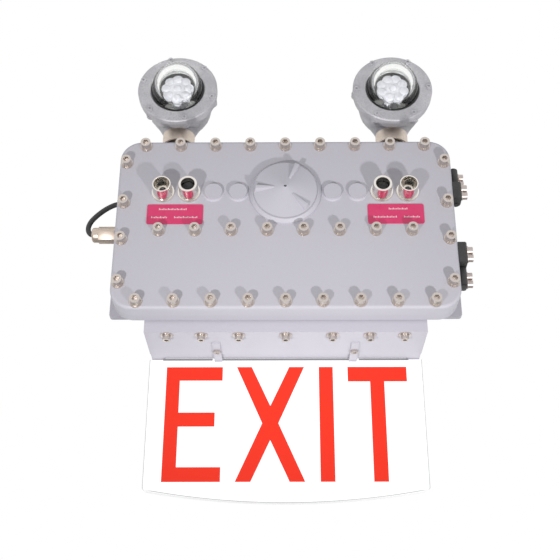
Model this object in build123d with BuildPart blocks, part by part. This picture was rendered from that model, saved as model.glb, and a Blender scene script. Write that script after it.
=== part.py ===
from build123d import *
from math import cos, pi, radians, sin, sqrt, tan
import os

os.makedirs("parts", exist_ok=True)

# Frame: the wall is the plane Y = 0, the cover faces -Y, +Z is up, Z = 0 is the middle of the cover
cover_thickness = 20.0
flange_thickness = 15.0
body_depth = 105.0
plate_thickness = 8.0
body_back_y = -plate_thickness
flange_back_y = body_back_y - body_depth
joint_y = flange_back_y - flange_thickness
face_y = joint_y - cover_thickness

# Clearances between mating pieces
running_fit = 0.05
thread_fit = 0.05
loose_fit = 0.5
soft_gap = 0.3

# Cover and housing casting
cover_width = 435.0
cover_height = 246.0
cover_corner = 28.0
cover_edge = 4.0
body_width = 376.0
body_height = 194.0
body_corner = 20.0
body_draft = 3.0
body_back_edge = 9.0
side_wall = 14.0
back_wall = 10.0
divider_thickness = 26.0
pocket_corner = 12.0

# Cover bolts, M8 socket cap with a captive washer
bolt_pitch = 46.0
row_inset = 8.7
column_inset = 9.5
middle_row_z = -14.5
column_heights = (87.7, 27.0)
bolt_shank = 8.0
bolt_reach = 31.0
bolt_hole = 9.0
bolt_head = 13.0
bolt_head_height = 10.0
bolt_socket = 6.6
bolt_socket_depth = 5.0
washer_diameter = 16.0
washer_thickness = 1.6

# Signal lamps and push buttons in their guards
device_z = 42.0
indicator_x = 158.0
button_x = 124.5
device_flange = 29.0
device_flange_height = 4.0
device_base = 26.0
device_rim = 23.5
device_height = 23.0
device_tail = 16.0
device_tail_length = 28.0
cup_mouth = 20.4
cup_floor = 14.0
cup_floor_height = 7.0
led_diameter = 5.9
led_collar = 9.0
led_collar_height = 1.0
led_height = 11.0
button_bore = 18.0
button_floor_height = 2.0
button_height = 15.0
button_stem = 8.0
button_stem_end = 26.0
button_travel = 3.5
nut_across_flats = 22.0
nut_thickness = 5.0

# Blank bosses and the ribbed inspection cap
blank_positions = (61.0, 93.0)
blank_diameter = 23.0
blank_height = 5.0
blank_root = 2.5
cap_z = 41.5
cap_base = 92.0
cap_base_edge = 3.0
cap_rim = 81.0
cap_rim_height = 9.0
cap_peak_height = 19.0
cap_plug = 73.4
cap_plug_length = 16.0
cap_hollow = 60.0
cap_hollow_height = 3.0
cap_pin_hole = 4.0
cap_pin_depth = 5.0
rib_width = 5.0
rib_start = 14.0
rib_height = 16.7
rib_angles = (180.0, 66.0, -46.0)

# Label plates
label_width = 72.0
label_height = 28.8
label_thickness = 1.0
label_corner = 2.5
label_x = 141.5
label_z = 10.0

# Hinges on the right edge
hinge_middle_z = 2.0
leaf_thickness = 11.5
cover_leaf_start = 26.0
cover_leaf_length = 34.0
leaf_gap = 0.5
housing_leaf_length = 32.5
leaf_margin = 2.0
pin_diameter = 5.0
hinge_bolt_spacing = 10.5
hinge_shank = 6.0
hinge_head = 10.0
hinge_head_height = 6.0
hinge_washer = 12.0
hinge_washer_thickness = 1.6
hinge_bolt_offset = 3.0

# Cable glands and the jumper between them
gland_y = -73.0
lower_gland_z = 22.0
upper_gland_z = 72.0
gland_boss = 32.0
gland_boss_x = 190.0
gland_thread = 20.0
gland_thread_length = 10.0
gland_hex = 24.0
gland_hex_length = 14.0
gland_barrel = 22.0
lower_gland_end = 261.0
upper_gland_end = 222.0
gland_nut_length = 25.0
upper_nut_length = 12.0
gland_nut_hex_length = 14.0
upper_nut_hex_length = 7.0
gland_nut_nose = 15.0
cable_diameter = 7.0

# Lamp heads, each turning on a pipe
lamp_x = 150.5
lamp_axis_y = -76.0
lamp_z = 229.5
boss_diameter = 48.0
boss_top_z = 101.0
nipple_diameter = 33.4
nipple_bore = 26.0
nipple_top_z = 172.0
nipple_hex = 41.0
nipple_hex_height = 12.0
collar_diameter = 45.0
collar_bottom_z = 162.0
collar_top_z = 180.5
collar_recess = 40.0
collar_recess_depth = 6.0
spigot_diameter = 30.0
spigot_length = 7.5
neck_diameter = 40.0
neck_bore = 16.0
ring_back_y = -112.0
ring_thickness = 10.0
ring_diameter = 109.0
ring_opening = 74.6
ring_edge = 1.2
lug_circle = 101.0
lug_diameter = 13.0
lug_blend = 5.0
lug_count = 6
lamp_flange_thickness = 6.0
bowl_front_diameter = 97.0
bowl_shoulder_diameter = 86.0
bowl_shoulder_depth = 44.0
bowl_depth = 68.0
bowl_wall = 5.0
glass_radius = 36.5
glass_thickness = 3.0
glass_flange = 84.0
glass_flange_thickness = 5.0
reflector_flange = 88.6
reflector_throat = 46.0
reflector_depth = 14.0
reflector_wall = 1.5
pedestal_diameter = 40.0
board_diameter = 44.0
board_thickness = 2.0
lens_diameter = 44.0
lens_thickness = 12.0
lens_petals = 8
petal_diameter = 14.0
lens_stem = 30.0
lens_front_y = -128.0
lamp_screw_shank = 4.0
lamp_screw_head = 7.4
lamp_screw_head_height = 3.0
lamp_screw_socket = 3.0
lamp_screw_reach = 4.5

# Sign box under the housing, with its plate, clips and panel
box_width = 355.0
box_front_y = -110.0
box_back_y = -6.0
box_bottom_z = -138.0
box_wall = 6.0
box_front_wall = 17.0
box_step = 2.0
cover_strip_depth = 70.0
cover_strip_thickness = 4.0
sign_screw_positions = (59.0, 106.0, 149.5)
sign_screw_inset = 8.5
sign_screw_reach = 10.0
clip_x = 89.0
clip_width = 11.6
clip_thickness = 2.0
clip_front_y = -81.0
clip_lip = 9.0
clip_screw_y = -54.5
panel_front_y = -20.0
panel_thickness = 8.0
panel_width = 360.6
panel_side_z = -314.0
panel_bottom_z = -330.0
panel_corner = 4.0
tongue_width = 319.0
tongue_height = 21.0
slot_clearance = 0.3
light_bar_height = 3.0
light_bar_gap = 2.0
box_screw_positions = (60.0, 140.0)
box_screw_y = -70.0

# Mounting plate and what sits inside the housing
plate_width = 483.0
plate_height = 140.0
plate_corner = 4.0
wall_hole = 9.0
wall_hole_width = 458.0
wall_hole_height = 110.0
plate_screw_width = 300.0
plate_screw_height = 100.0
plate_screw_shank = 6.0
plate_screw_head = 12.0
plate_screw_reach = 7.0
cell_diameter = 26.0
cell_length = 50.0
cells_in_row = 3
battery_x = -70.0
board_width = 130.0
board_height = 66.0
driver_thickness = 1.6
standoff_height = 8.0
standoff_diameter = 8.0
driver_x = 40.0
terminal_x = -120.0
terminal_ways = 6
terminal_pitch = 10.0

# Values worked out from the sizes above
bolt_row_z = cover_height / 2 - row_inset
bolt_column_x = cover_width / 2 - column_inset
row_points = [(i * bolt_pitch, s * bolt_row_z) for i in range(-4, 5) for s in (-1, 1)]
middle_points = [((i + 0.5) * bolt_pitch, middle_row_z) for i in range(-4, 4)]
column_points = [(s * bolt_column_x, t * h) for s in (-1, 1) for t in (-1, 1) for h in column_heights]
bolt_points = row_points + middle_points + column_points
device_points = [(s * x, device_z) for s in (-1, 1) for x in (indicator_x, button_x)]
pocket_width = body_width - 2 * side_wall
pocket_top_z = body_height / 2 - side_wall
divider_top_z = middle_row_z + divider_thickness / 2
divider_bottom_z = middle_row_z - divider_thickness / 2
pocket_depth = flange_thickness + body_depth - back_wall
pocket_back_y = body_back_y - back_wall
upper_pocket_height = pocket_top_z - divider_top_z
lower_pocket_height = divider_bottom_z + pocket_top_z
upper_pocket_z = (pocket_top_z + divider_top_z) / 2
lower_pocket_z = (divider_bottom_z - pocket_top_z) / 2
cover_edge_x = cover_width / 2
leaf_outer_x = cover_edge_x + leaf_thickness
pin_x = cover_edge_x + leaf_thickness / 2
lamp_sides = (("left", -lamp_x, -16.5, 0.0), ("right", lamp_x, 2.3, 25.0))
device_sides = (("left", -1), ("right", 1))


# Workplanes: front looks at the viewer, wall looks at the wall, side looks along +X
def front(y, x=0.0, z=0.0):
    return Plane(origin=(x, y, z), x_dir=(1, 0, 0), z_dir=(0, -1, 0))


def wall(y):
    return Plane(origin=(0, y, 0), x_dir=(-1, 0, 0), z_dir=(0, 1, 0))


def side(x):
    return Plane(origin=(x, 0, 0), x_dir=(0, 1, 0), z_dir=(1, 0, 0))


def lathe(x, z):
    return Plane(origin=(x, 0, z), x_dir=(1, 0, 0), z_dir=(0, 0, 1))


def depth_axis(x, z):
    return Axis((x, 0, z), (0, 1, 0))


def hex_radius(across_flats):
    return across_flats / sqrt(3)


# Places of the hinge bolts: height on the edge, and the depth of the leaf that they hold
cover_leaf_y = (face_y + joint_y) / 2
housing_leaf_y = (joint_y + flange_back_y) / 2
cover_leaf_middle = cover_leaf_start + cover_leaf_length / 2
housing_leaf_start = cover_leaf_start + cover_leaf_length + leaf_gap
housing_leaf_middle = housing_leaf_start + housing_leaf_length / 2
hinge_bolt_reach = column_inset - bolt_hole / 2 - loose_fit
cover_leaf_heights = [cover_leaf_middle + hinge_bolt_offset + t * hinge_bolt_spacing / 2 for t in (-1, 1)]
housing_leaf_heights = [housing_leaf_middle - hinge_bolt_offset + t * hinge_bolt_spacing / 2 for t in (-1, 1)]
cover_leaf_bolts = [(cover_leaf_y, hinge_middle_z + s * h) for s in (-1, 1) for h in cover_leaf_heights]
housing_leaf_bolts = [(housing_leaf_y, hinge_middle_z + s * h) for s in (-1, 1) for h in housing_leaf_heights]

# Front cover: a thick machined casting with blank bosses, a cap opening and device holes
with BuildPart() as front_cover:
    with BuildSketch(front(joint_y)):
        RectangleRounded(cover_width, cover_height, cover_corner)
    extrude(amount=cover_thickness)
    fillet(front_cover.faces().sort_by(Axis.Y)[0].edges(), radius=cover_edge)
    with BuildSketch(front(face_y)):
        with Locations(*[(s * x, device_z) for s in (-1, 1) for x in blank_positions]):
            Circle(blank_diameter / 2)
    extrude(amount=blank_height)
    boss_roots = front_cover.edges().filter_by(GeomType.CIRCLE).filter_by(
        lambda e: abs(e.center().Y - face_y) < 0.01 and abs(e.radius - blank_diameter / 2) < 0.01
    )
    fillet(boss_roots, radius=blank_root)
    with BuildSketch(front(joint_y)):
        with Locations(*bolt_points):
            Circle(bolt_hole / 2)
        with Locations(*device_points):
            Circle(device_tail / 2 + thread_fit)
        with Locations((0, cap_z)):
            Circle(cap_plug / 2 + thread_fit)
    extrude(amount=cover_thickness, mode=Mode.SUBTRACT)
    with BuildSketch(side(cover_edge_x)):
        with Locations(*cover_leaf_bolts):
            Circle(hinge_shank / 2 + thread_fit)
    extrude(amount=-hinge_bolt_reach, mode=Mode.SUBTRACT)
front_cover.part.label = "front_cover"
export_step(front_cover.part, "parts/front_cover.step")

# Housing: flange and tapered body in one casting, two deep pockets with a divider under the middle bolts
with BuildPart() as housing:
    with BuildSketch(wall(flange_back_y)):
        RectangleRounded(body_width, body_height, body_corner)
    extrude(amount=body_depth, taper=body_draft)
    fillet(housing.faces().sort_by(Axis.Y)[-1].edges(), radius=body_back_edge)
    with BuildSketch(front(flange_back_y)):
        RectangleRounded(cover_width, cover_height, cover_corner)
    extrude(amount=flange_thickness)
    with BuildSketch(Plane.XY.offset(boss_top_z)):
        with Locations((-lamp_x, lamp_axis_y), (lamp_x, lamp_axis_y)):
            Circle(boss_diameter / 2)
    extrude(amount=pocket_top_z - boss_top_z + side_wall / 2)
    with BuildSketch(side(-gland_boss_x)):
        with Locations((gland_y, lower_gland_z), (gland_y, upper_gland_z)):
            Circle(gland_boss / 2)
    extrude(amount=gland_boss_x - body_width / 2 + side_wall / 2)
    with BuildSketch(front(joint_y)):
        with Locations((0, upper_pocket_z)):
            RectangleRounded(pocket_width, upper_pocket_height, pocket_corner)
        with Locations((0, lower_pocket_z)):
            RectangleRounded(pocket_width, lower_pocket_height, pocket_corner)
    extrude(amount=-pocket_depth, mode=Mode.SUBTRACT)
    with BuildSketch(front(pocket_back_y, driver_x, upper_pocket_z)):
        with GridLocations(board_width - 2 * standoff_diameter, board_height - 2 * standoff_diameter, 2, 2):
            Circle(standoff_diameter / 2)
    extrude(amount=standoff_height)
    with BuildSketch(front(joint_y)):
        with Locations(*bolt_points):
            Circle(bolt_shank / 2 + thread_fit)
    extrude(amount=cover_thickness - bolt_reach - 2.0, mode=Mode.SUBTRACT)
    with BuildSketch(Plane.XY.offset(boss_top_z)):
        with Locations((-lamp_x, lamp_axis_y), (lamp_x, lamp_axis_y)):
            Circle(nipple_diameter / 2 + thread_fit)
    extrude(amount=-2 * side_wall, mode=Mode.SUBTRACT)
    with BuildSketch(side(-gland_boss_x)):
        with Locations((gland_y, lower_gland_z), (gland_y, upper_gland_z)):
            Circle(gland_thread / 2 + thread_fit)
    extrude(amount=2 * side_wall, mode=Mode.SUBTRACT)
    with BuildSketch(side(cover_edge_x)):
        with Locations(*housing_leaf_bolts):
            Circle(hinge_shank / 2 + thread_fit)
    extrude(amount=-hinge_bolt_reach, mode=Mode.SUBTRACT)
    with BuildSketch(wall(body_back_y)):
        with GridLocations(plate_screw_width, plate_screw_height, 2, 2):
            Circle(plate_screw_shank / 2 + thread_fit)
    extrude(amount=-plate_screw_reach - 1.0, mode=Mode.SUBTRACT)
    with BuildSketch(Plane.XY.offset(-body_height / 2)):
        with Locations(*[(s * x, box_screw_y) for s in (-1, 1) for x in box_screw_positions]):
            Circle(plate_screw_shank / 2 + thread_fit)
    extrude(amount=side_wall - 3.0, mode=Mode.SUBTRACT)
housing.part.label = "housing"
export_step(housing.part, "parts/housing.step")

# Cover bolts: shank, captive washer and head turned as one, with a hexagon socket
with BuildPart() as cover_bolts:
    with BuildSketch(front(face_y)):
        with Locations(*bolt_points):
            Circle(washer_diameter / 2)
    extrude(amount=washer_thickness)
    with BuildSketch(front(face_y)):
        with Locations(*bolt_points):
            Circle(bolt_shank / 2)
    extrude(amount=-bolt_reach)
    with BuildSketch(front(face_y - washer_thickness)):
        with Locations(*bolt_points):
            Circle(bolt_head / 2)
    extrude(amount=bolt_head_height)
    with BuildSketch(front(face_y - washer_thickness - bolt_head_height)):
        with Locations(*bolt_points):
            RegularPolygon(radius=hex_radius(bolt_socket), side_count=6)
    extrude(amount=-bolt_socket_depth, mode=Mode.SUBTRACT)
cover_bolts.part.label = "cover_bolts"
export_step(cover_bolts.part, "parts/cover_bolts.step")

# Inspection cap: a screwed plug with a shallow cone face and three grip ribs
with BuildPart() as inspection_cap:
    with BuildSketch(lathe(0, cap_z)):
        with BuildLine():
            Polyline(
                (0, face_y - cap_rim_height + cap_hollow_height),
                (cap_hollow / 2, face_y - cap_hollow_height),
                (cap_hollow / 2, face_y + cap_plug_length),
                (cap_plug / 2, face_y + cap_plug_length),
                (cap_plug / 2, face_y),
                (cap_base / 2, face_y),
                (cap_base / 2, face_y - cap_base_edge),
                (cap_rim / 2, face_y - cap_rim_height),
                (cap_pin_hole / 2, face_y - cap_peak_height),
                (cap_pin_hole / 2, face_y - cap_peak_height + cap_pin_depth),
                (0, face_y - cap_peak_height + cap_pin_depth),
                close=True,
            )
        make_face()
    revolve(axis=depth_axis(0, cap_z))
    rib_length = cap_rim / 2 - rib_start
    rib_middle = (cap_rim / 2 + rib_start) / 2
    with BuildSketch(front(face_y - cap_rim_height + cap_hollow_height, 0, cap_z)):
        for angle in rib_angles:
            with Locations((rib_middle * cos(radians(angle)), rib_middle * sin(radians(angle)))):
                Rectangle(rib_length, rib_width, rotation=angle)
    extrude(amount=rib_height - cap_rim_height + cap_hollow_height)
inspection_cap.part.label = "inspection_cap"
export_step(inspection_cap.part, "parts/inspection_cap.step")

# Signal lamps: a polished cup with a small LED standing in its floor
for name, sign in device_sides:
    x = sign * indicator_x
    with BuildPart() as indicator_body:
        with BuildSketch(lathe(x, device_z)):
            with BuildLine():
                Polyline(
                    (led_diameter / 2 + thread_fit, face_y + device_tail_length),
                    (device_tail / 2, face_y + device_tail_length),
                    (device_tail / 2, face_y),
                    (device_flange / 2, face_y),
                    (device_flange / 2, face_y - device_flange_height),
                    (device_base / 2, face_y - device_flange_height),
                    (device_rim / 2, face_y - device_height),
                    (cup_mouth / 2, face_y - device_height),
                    (cup_floor / 2, face_y - cup_floor_height),
                    (led_diameter / 2 + thread_fit, face_y - cup_floor_height),
                    close=True,
                )
            make_face()
        revolve(axis=depth_axis(x, device_z))
    indicator_body.part.label = f"indicator_{name}_body"
    export_step(indicator_body.part, f"parts/indicator_{name}_body.step")

    with BuildPart() as indicator_lens:
        led_straight = led_height - led_diameter / 2
        with BuildSketch(lathe(x, device_z)):
            with BuildLine():
                Polyline(
                    (0, face_y - led_height),
                    (0, face_y + led_collar_height),
                    (led_diameter / 2, face_y + led_collar_height),
                    (led_diameter / 2, face_y - cup_floor_height),
                    (led_collar / 2, face_y - cup_floor_height),
                    (led_collar / 2, face_y - cup_floor_height - led_collar_height),
                    (led_diameter / 2, face_y - cup_floor_height - led_collar_height),
                    (led_diameter / 2, face_y - led_straight),
                )
                CenterArc((0, face_y - led_straight), led_diameter / 2, -90, 90)
            make_face()
        revolve(axis=depth_axis(x, device_z))
    indicator_lens.part.label = f"indicator_{name}_lens"
    export_step(indicator_lens.part, f"parts/indicator_{name}_lens.step")

# Push buttons: a tall guard ring and a sunk rubber cap on a sliding stem
for name, sign in device_sides:
    x = sign * button_x
    with BuildPart() as button_guard:
        with BuildSketch(lathe(x, device_z)):
            with BuildLine():
                Polyline(
                    (button_stem / 2 + running_fit, face_y + device_tail_length),
                    (device_tail / 2, face_y + device_tail_length),
                    (device_tail / 2, face_y),
                    (device_flange / 2, face_y),
                    (device_flange / 2, face_y - device_flange_height),
                    (device_base / 2, face_y - device_flange_height),
                    (device_rim / 2, face_y - device_height),
                    (button_bore / 2, face_y - device_height),
                    (button_bore / 2, face_y - button_floor_height),
                    (button_stem / 2 + running_fit, face_y - button_floor_height),
                    close=True,
                )
            make_face()
        revolve(axis=depth_axis(x, device_z))
    button_guard.part.label = f"button_{name}_guard"
    export_step(button_guard.part, f"parts/button_{name}_guard.step")

    with BuildPart() as button_cap:
        cap_radius = button_bore / 2 - soft_gap
        cap_under_y = face_y - button_floor_height - button_travel - loose_fit
        cap_top_y = face_y - button_height
        with BuildSketch(lathe(x, device_z)):
            with BuildLine():
                Polyline(
                    (0, face_y + button_stem_end),
                    (button_stem / 2, face_y + button_stem_end),
                    (button_stem / 2, cap_under_y),
                    (cap_radius, cap_under_y),
                    (cap_radius, cap_top_y + 2.0),
                    (cap_radius - 1.0, cap_top_y + 1.0),
                    (cap_radius * 0.68, cap_top_y + 1.0),
                    (cap_radius * 0.58, cap_top_y),
                    (cap_radius * 0.40, cap_top_y),
                    (cap_radius * 0.32, cap_top_y + 0.6),
                    (0, cap_top_y + 0.6),
                    close=True,
                )
            make_face()
        revolve(axis=depth_axis(x, device_z))
    button_cap.part.label = f"button_{name}"
    export_step(button_cap.part, f"parts/button_{name}.step")

# Hexagon nuts that hold the four devices from behind the cover
with BuildPart() as device_nuts:
    with BuildSketch(wall(joint_y)):
        with Locations(*device_points):
            RegularPolygon(radius=hex_radius(nut_across_flats), side_count=6)
        with Locations(*device_points):
            Circle(device_tail / 2 + thread_fit, mode=Mode.SUBTRACT)
    extrude(amount=nut_thickness)
device_nuts.part.label = "device_nuts"
export_step(device_nuts.part, "parts/device_nuts.step")

# Label plates beside the middle bolts
for name, sign in device_sides:
    with BuildPart() as label:
        with BuildSketch(front(face_y, sign * label_x, label_z)):
            RectangleRounded(label_width, label_height, label_corner)
        extrude(amount=label_thickness)
    label.part.label = f"label_{name}"
    export_step(label.part, f"parts/label_{name}.step")

# Hinges: each has a leaf on the cover edge, a leaf on the flange edge and one pin down through both
for name, sign in (("upper", 1), ("lower", -1)):
    cover_leaf_z = hinge_middle_z + sign * cover_leaf_middle
    housing_leaf_z = hinge_middle_z + sign * housing_leaf_middle
    with BuildPart() as cover_leaf:
        with BuildSketch(Plane.XY.offset(cover_leaf_z - cover_leaf_length / 2)):
            with BuildLine():
                Polyline(
                    (cover_edge_x, joint_y),
                    (cover_edge_x, face_y + leaf_margin),
                    (leaf_outer_x - leaf_margin, face_y + leaf_margin),
                    (leaf_outer_x, face_y + 2 * leaf_margin),
                    (leaf_outer_x, joint_y),
                )
                CenterArc((pin_x, joint_y), leaf_thickness / 2, 0, 180)
            make_face()
            with Locations((pin_x, joint_y)):
                Circle(pin_diameter / 2 + running_fit, mode=Mode.SUBTRACT)
        extrude(amount=cover_leaf_length)
        with BuildSketch(side(leaf_outer_x)):
            with Locations(*cover_leaf_bolts):
                Circle(hinge_shank / 2 + loose_fit)
        extrude(amount=-leaf_thickness, mode=Mode.SUBTRACT)
    cover_leaf.part.label = f"hinge_{name}_cover_leaf"
    export_step(cover_leaf.part, f"parts/hinge_{name}_cover_leaf.step")

    with BuildPart() as housing_leaf:
        with BuildSketch(Plane.XY.offset(housing_leaf_z - housing_leaf_length / 2)):
            with BuildLine():
                Polyline(
                    (cover_edge_x, joint_y),
                    (cover_edge_x, flange_back_y),
                    (leaf_outer_x - leaf_margin, flange_back_y),
                    (leaf_outer_x, flange_back_y - leaf_margin),
                    (leaf_outer_x, joint_y),
                )
                CenterArc((pin_x, joint_y), leaf_thickness / 2, 180, 180)
            make_face()
            with Locations((pin_x, joint_y)):
                Circle(pin_diameter / 2 + running_fit, mode=Mode.SUBTRACT)
        extrude(amount=housing_leaf_length)
        with BuildSketch(side(leaf_outer_x)):
            with Locations(*housing_leaf_bolts):
                Circle(hinge_shank / 2 + loose_fit)
        extrude(amount=-leaf_thickness, mode=Mode.SUBTRACT)
    housing_leaf.part.label = f"hinge_{name}_housing_leaf"
    export_step(housing_leaf.part, f"parts/hinge_{name}_housing_leaf.step")

with BuildPart() as hinge_pins:
    pin_length = cover_leaf_length + leaf_gap + housing_leaf_length
    pin_middle = cover_leaf_start + pin_length / 2
    for sign in (-1, 1):
        with BuildSketch(Plane.XY.offset(hinge_middle_z + sign * pin_middle - pin_length / 2)):
            with Locations((pin_x, joint_y)):
                Circle(pin_diameter / 2)
        extrude(amount=pin_length)
hinge_pins.part.label = "hinge_pins"
export_step(hinge_pins.part, "parts/hinge_pins.step")

with BuildPart() as hinge_bolts:
    hinge_bolt_points = cover_leaf_bolts + housing_leaf_bolts
    with BuildSketch(side(leaf_outer_x)):
        with Locations(*hinge_bolt_points):
            Circle(hinge_washer / 2)
    extrude(amount=hinge_washer_thickness)
    with BuildSketch(side(leaf_outer_x)):
        with Locations(*hinge_bolt_points):
            Circle(hinge_shank / 2)
    extrude(amount=-leaf_thickness - hinge_bolt_reach)
    with BuildSketch(side(leaf_outer_x + hinge_washer_thickness)):
        with Locations(*hinge_bolt_points):
            Circle(hinge_head / 2)
    extrude(amount=hinge_head_height)
    with BuildSketch(side(leaf_outer_x + hinge_washer_thickness + hinge_head_height)):
        with Locations(*hinge_bolt_points):
            RegularPolygon(radius=hex_radius(hinge_head / 2), side_count=6)
    extrude(amount=-hinge_head_height / 2, mode=Mode.SUBTRACT)
hinge_bolts.part.label = "hinge_bolts"
export_step(hinge_bolts.part, "parts/hinge_bolts.step")

# Cable glands: a hexagon body screwed into the wall and a clamping nut with a rounded nose
gland_sizes = (
    ("lower", lower_gland_z, lower_gland_end, gland_nut_length, gland_nut_hex_length),
    ("upper", upper_gland_z, upper_gland_end, upper_nut_length, upper_nut_hex_length),
)
for name, z, end_x, nut_length, nut_hex_length in gland_sizes:
    nut_start_x = end_x - nut_length
    body_hex_end = min(gland_boss_x + gland_hex_length, nut_start_x)
    with BuildPart() as gland_body:
        with BuildSketch(side(-gland_boss_x)):
            with Locations((gland_y, z)):
                Circle(gland_thread / 2)
        extrude(amount=gland_thread_length)
        with BuildSketch(side(-gland_boss_x)):
            with Locations((gland_y, z)):
                RegularPolygon(radius=hex_radius(gland_hex), side_count=6)
        extrude(amount=gland_boss_x - body_hex_end)
        with BuildSketch(side(-gland_boss_x)):
            with Locations((gland_y, z)):
                Circle(gland_barrel / 2)
        extrude(amount=gland_boss_x - nut_start_x)
        with BuildSketch(side(-nut_start_x)):
            with Locations((gland_y, z)):
                Circle(cable_diameter / 2)
        extrude(amount=nut_start_x - gland_boss_x + gland_thread_length, mode=Mode.SUBTRACT)
    gland_body.part.label = f"gland_{name}_body"
    export_step(gland_body.part, f"parts/gland_{name}_body.step")

    with BuildPart() as gland_nut:
        with BuildSketch(side(-nut_start_x)):
            with Locations((gland_y, z)):
                RegularPolygon(radius=hex_radius(gland_hex), side_count=6)
        extrude(amount=-nut_hex_length)
        with BuildSketch(side(-nut_start_x - nut_hex_length)):
            with Locations((gland_y, z)):
                Circle(gland_hex / 2)
        with BuildSketch(side(-end_x)):
            with Locations((gland_y, z)):
                Circle(gland_nut_nose / 2)
        loft()
    gland_nut.part.label = f"gland_{name}_nut"
    export_step(gland_nut.part, f"parts/gland_{name}_nut.step")

# Jumper cable: out of the lower gland, round and back along the side into the upper gland
cable_points = [
    (-lower_gland_end, gland_y, lower_gland_z),
    (-268.5, gland_y, lower_gland_z),
    (-274.0, gland_y, 28.5),
    (-273.5, gland_y, 37.5),
    (-266.0, gland_y, 48.5),
    (-254.5, gland_y, 58.5),
    (-242.0, gland_y, 66.8),
    (-231.5, gland_y, upper_gland_z),
    (-upper_gland_end, gland_y, upper_gland_z),
]
cable_radii = []
for a, b, c in zip(cable_points, cable_points[1:], cable_points[2:]):
    run_in = Vector(*b) - Vector(*a)
    run_out = Vector(*c) - Vector(*b)
    half_turn = radians(run_in.get_angle(run_out)) / 2
    cable_radii.append(0.45 * min(run_in.length, run_out.length) / tan(half_turn))
with BuildPart() as jumper_cable:
    with BuildLine():
        cable_path = FilletPolyline(*cable_points, radius=cable_radii)
    with BuildSketch(Plane(origin=cable_path @ 0, z_dir=cable_path % 0)):
        Circle(cable_diameter / 2)
    sweep()
cable_length = cable_path.length
cable_volume = pi * cable_diameter**2 / 4 * cable_length
print("cable radii", [round(r, 1) for r in cable_radii])
print("cable length", round(cable_length, 1), "volume", round(jumper_cable.part.volume), round(cable_volume))
jumper_cable.part.label = "jumper_cable"
export_step(jumper_cable.part, "parts/jumper_cable.step")

# Pipe nipples and swivel collars under the lamp heads
for name, x, screw_angle, petal_angle in lamp_sides:
    nipple_bottom_z = pocket_top_z + 1.0
    with BuildPart() as nipple:
        with BuildSketch(Plane.XY.offset(nipple_bottom_z)):
            with Locations((x, lamp_axis_y)):
                Circle(nipple_diameter / 2)
        extrude(amount=nipple_top_z - nipple_bottom_z)
        with BuildSketch(Plane.XY.offset(boss_top_z)):
            with Locations((x, lamp_axis_y)):
                RegularPolygon(radius=hex_radius(nipple_hex), side_count=6)
        extrude(amount=nipple_hex_height)
        with BuildSketch(Plane.XY.offset(nipple_bottom_z)):
            with Locations((x, lamp_axis_y)):
                Circle(nipple_bore / 2)
        extrude(amount=nipple_top_z - nipple_bottom_z, mode=Mode.SUBTRACT)
    nipple.part.label = f"nipple_{name}"
    export_step(nipple.part, f"parts/nipple_{name}.step")

    with BuildPart() as collar:
        with BuildSketch(Plane.XY.offset(collar_bottom_z)):
            with Locations((x, lamp_axis_y)):
                Circle(collar_diameter / 2)
        extrude(amount=collar_top_z - collar_bottom_z)
        with BuildSketch(Plane.XY.offset(collar_bottom_z)):
            with Locations((x, lamp_axis_y)):
                Circle(collar_recess / 2)
        extrude(amount=collar_recess_depth, mode=Mode.SUBTRACT)
        with BuildSketch(Plane.XY.offset(collar_bottom_z)):
            with Locations((x, lamp_axis_y)):
                Circle(nipple_diameter / 2 + thread_fit)
        extrude(amount=nipple_top_z + loose_fit - collar_bottom_z, mode=Mode.SUBTRACT)
        with BuildSketch(Plane.XY.offset(collar_bottom_z)):
            with Locations((x, lamp_axis_y)):
                Circle(spigot_diameter / 2 + running_fit)
        extrude(amount=collar_top_z - collar_bottom_z, mode=Mode.SUBTRACT)
    collar.part.label = f"collar_{name}"
    export_step(collar.part, f"parts/collar_{name}.step")


def lamp_outline(screw_angle):
    """Round flange with a lug for each screw, drawn in the sketch that is open."""
    Circle(ring_diameter / 2)
    with PolarLocations(lug_circle / 2, lug_count, start_angle=screw_angle):
        Circle(lug_diameter / 2)


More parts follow.
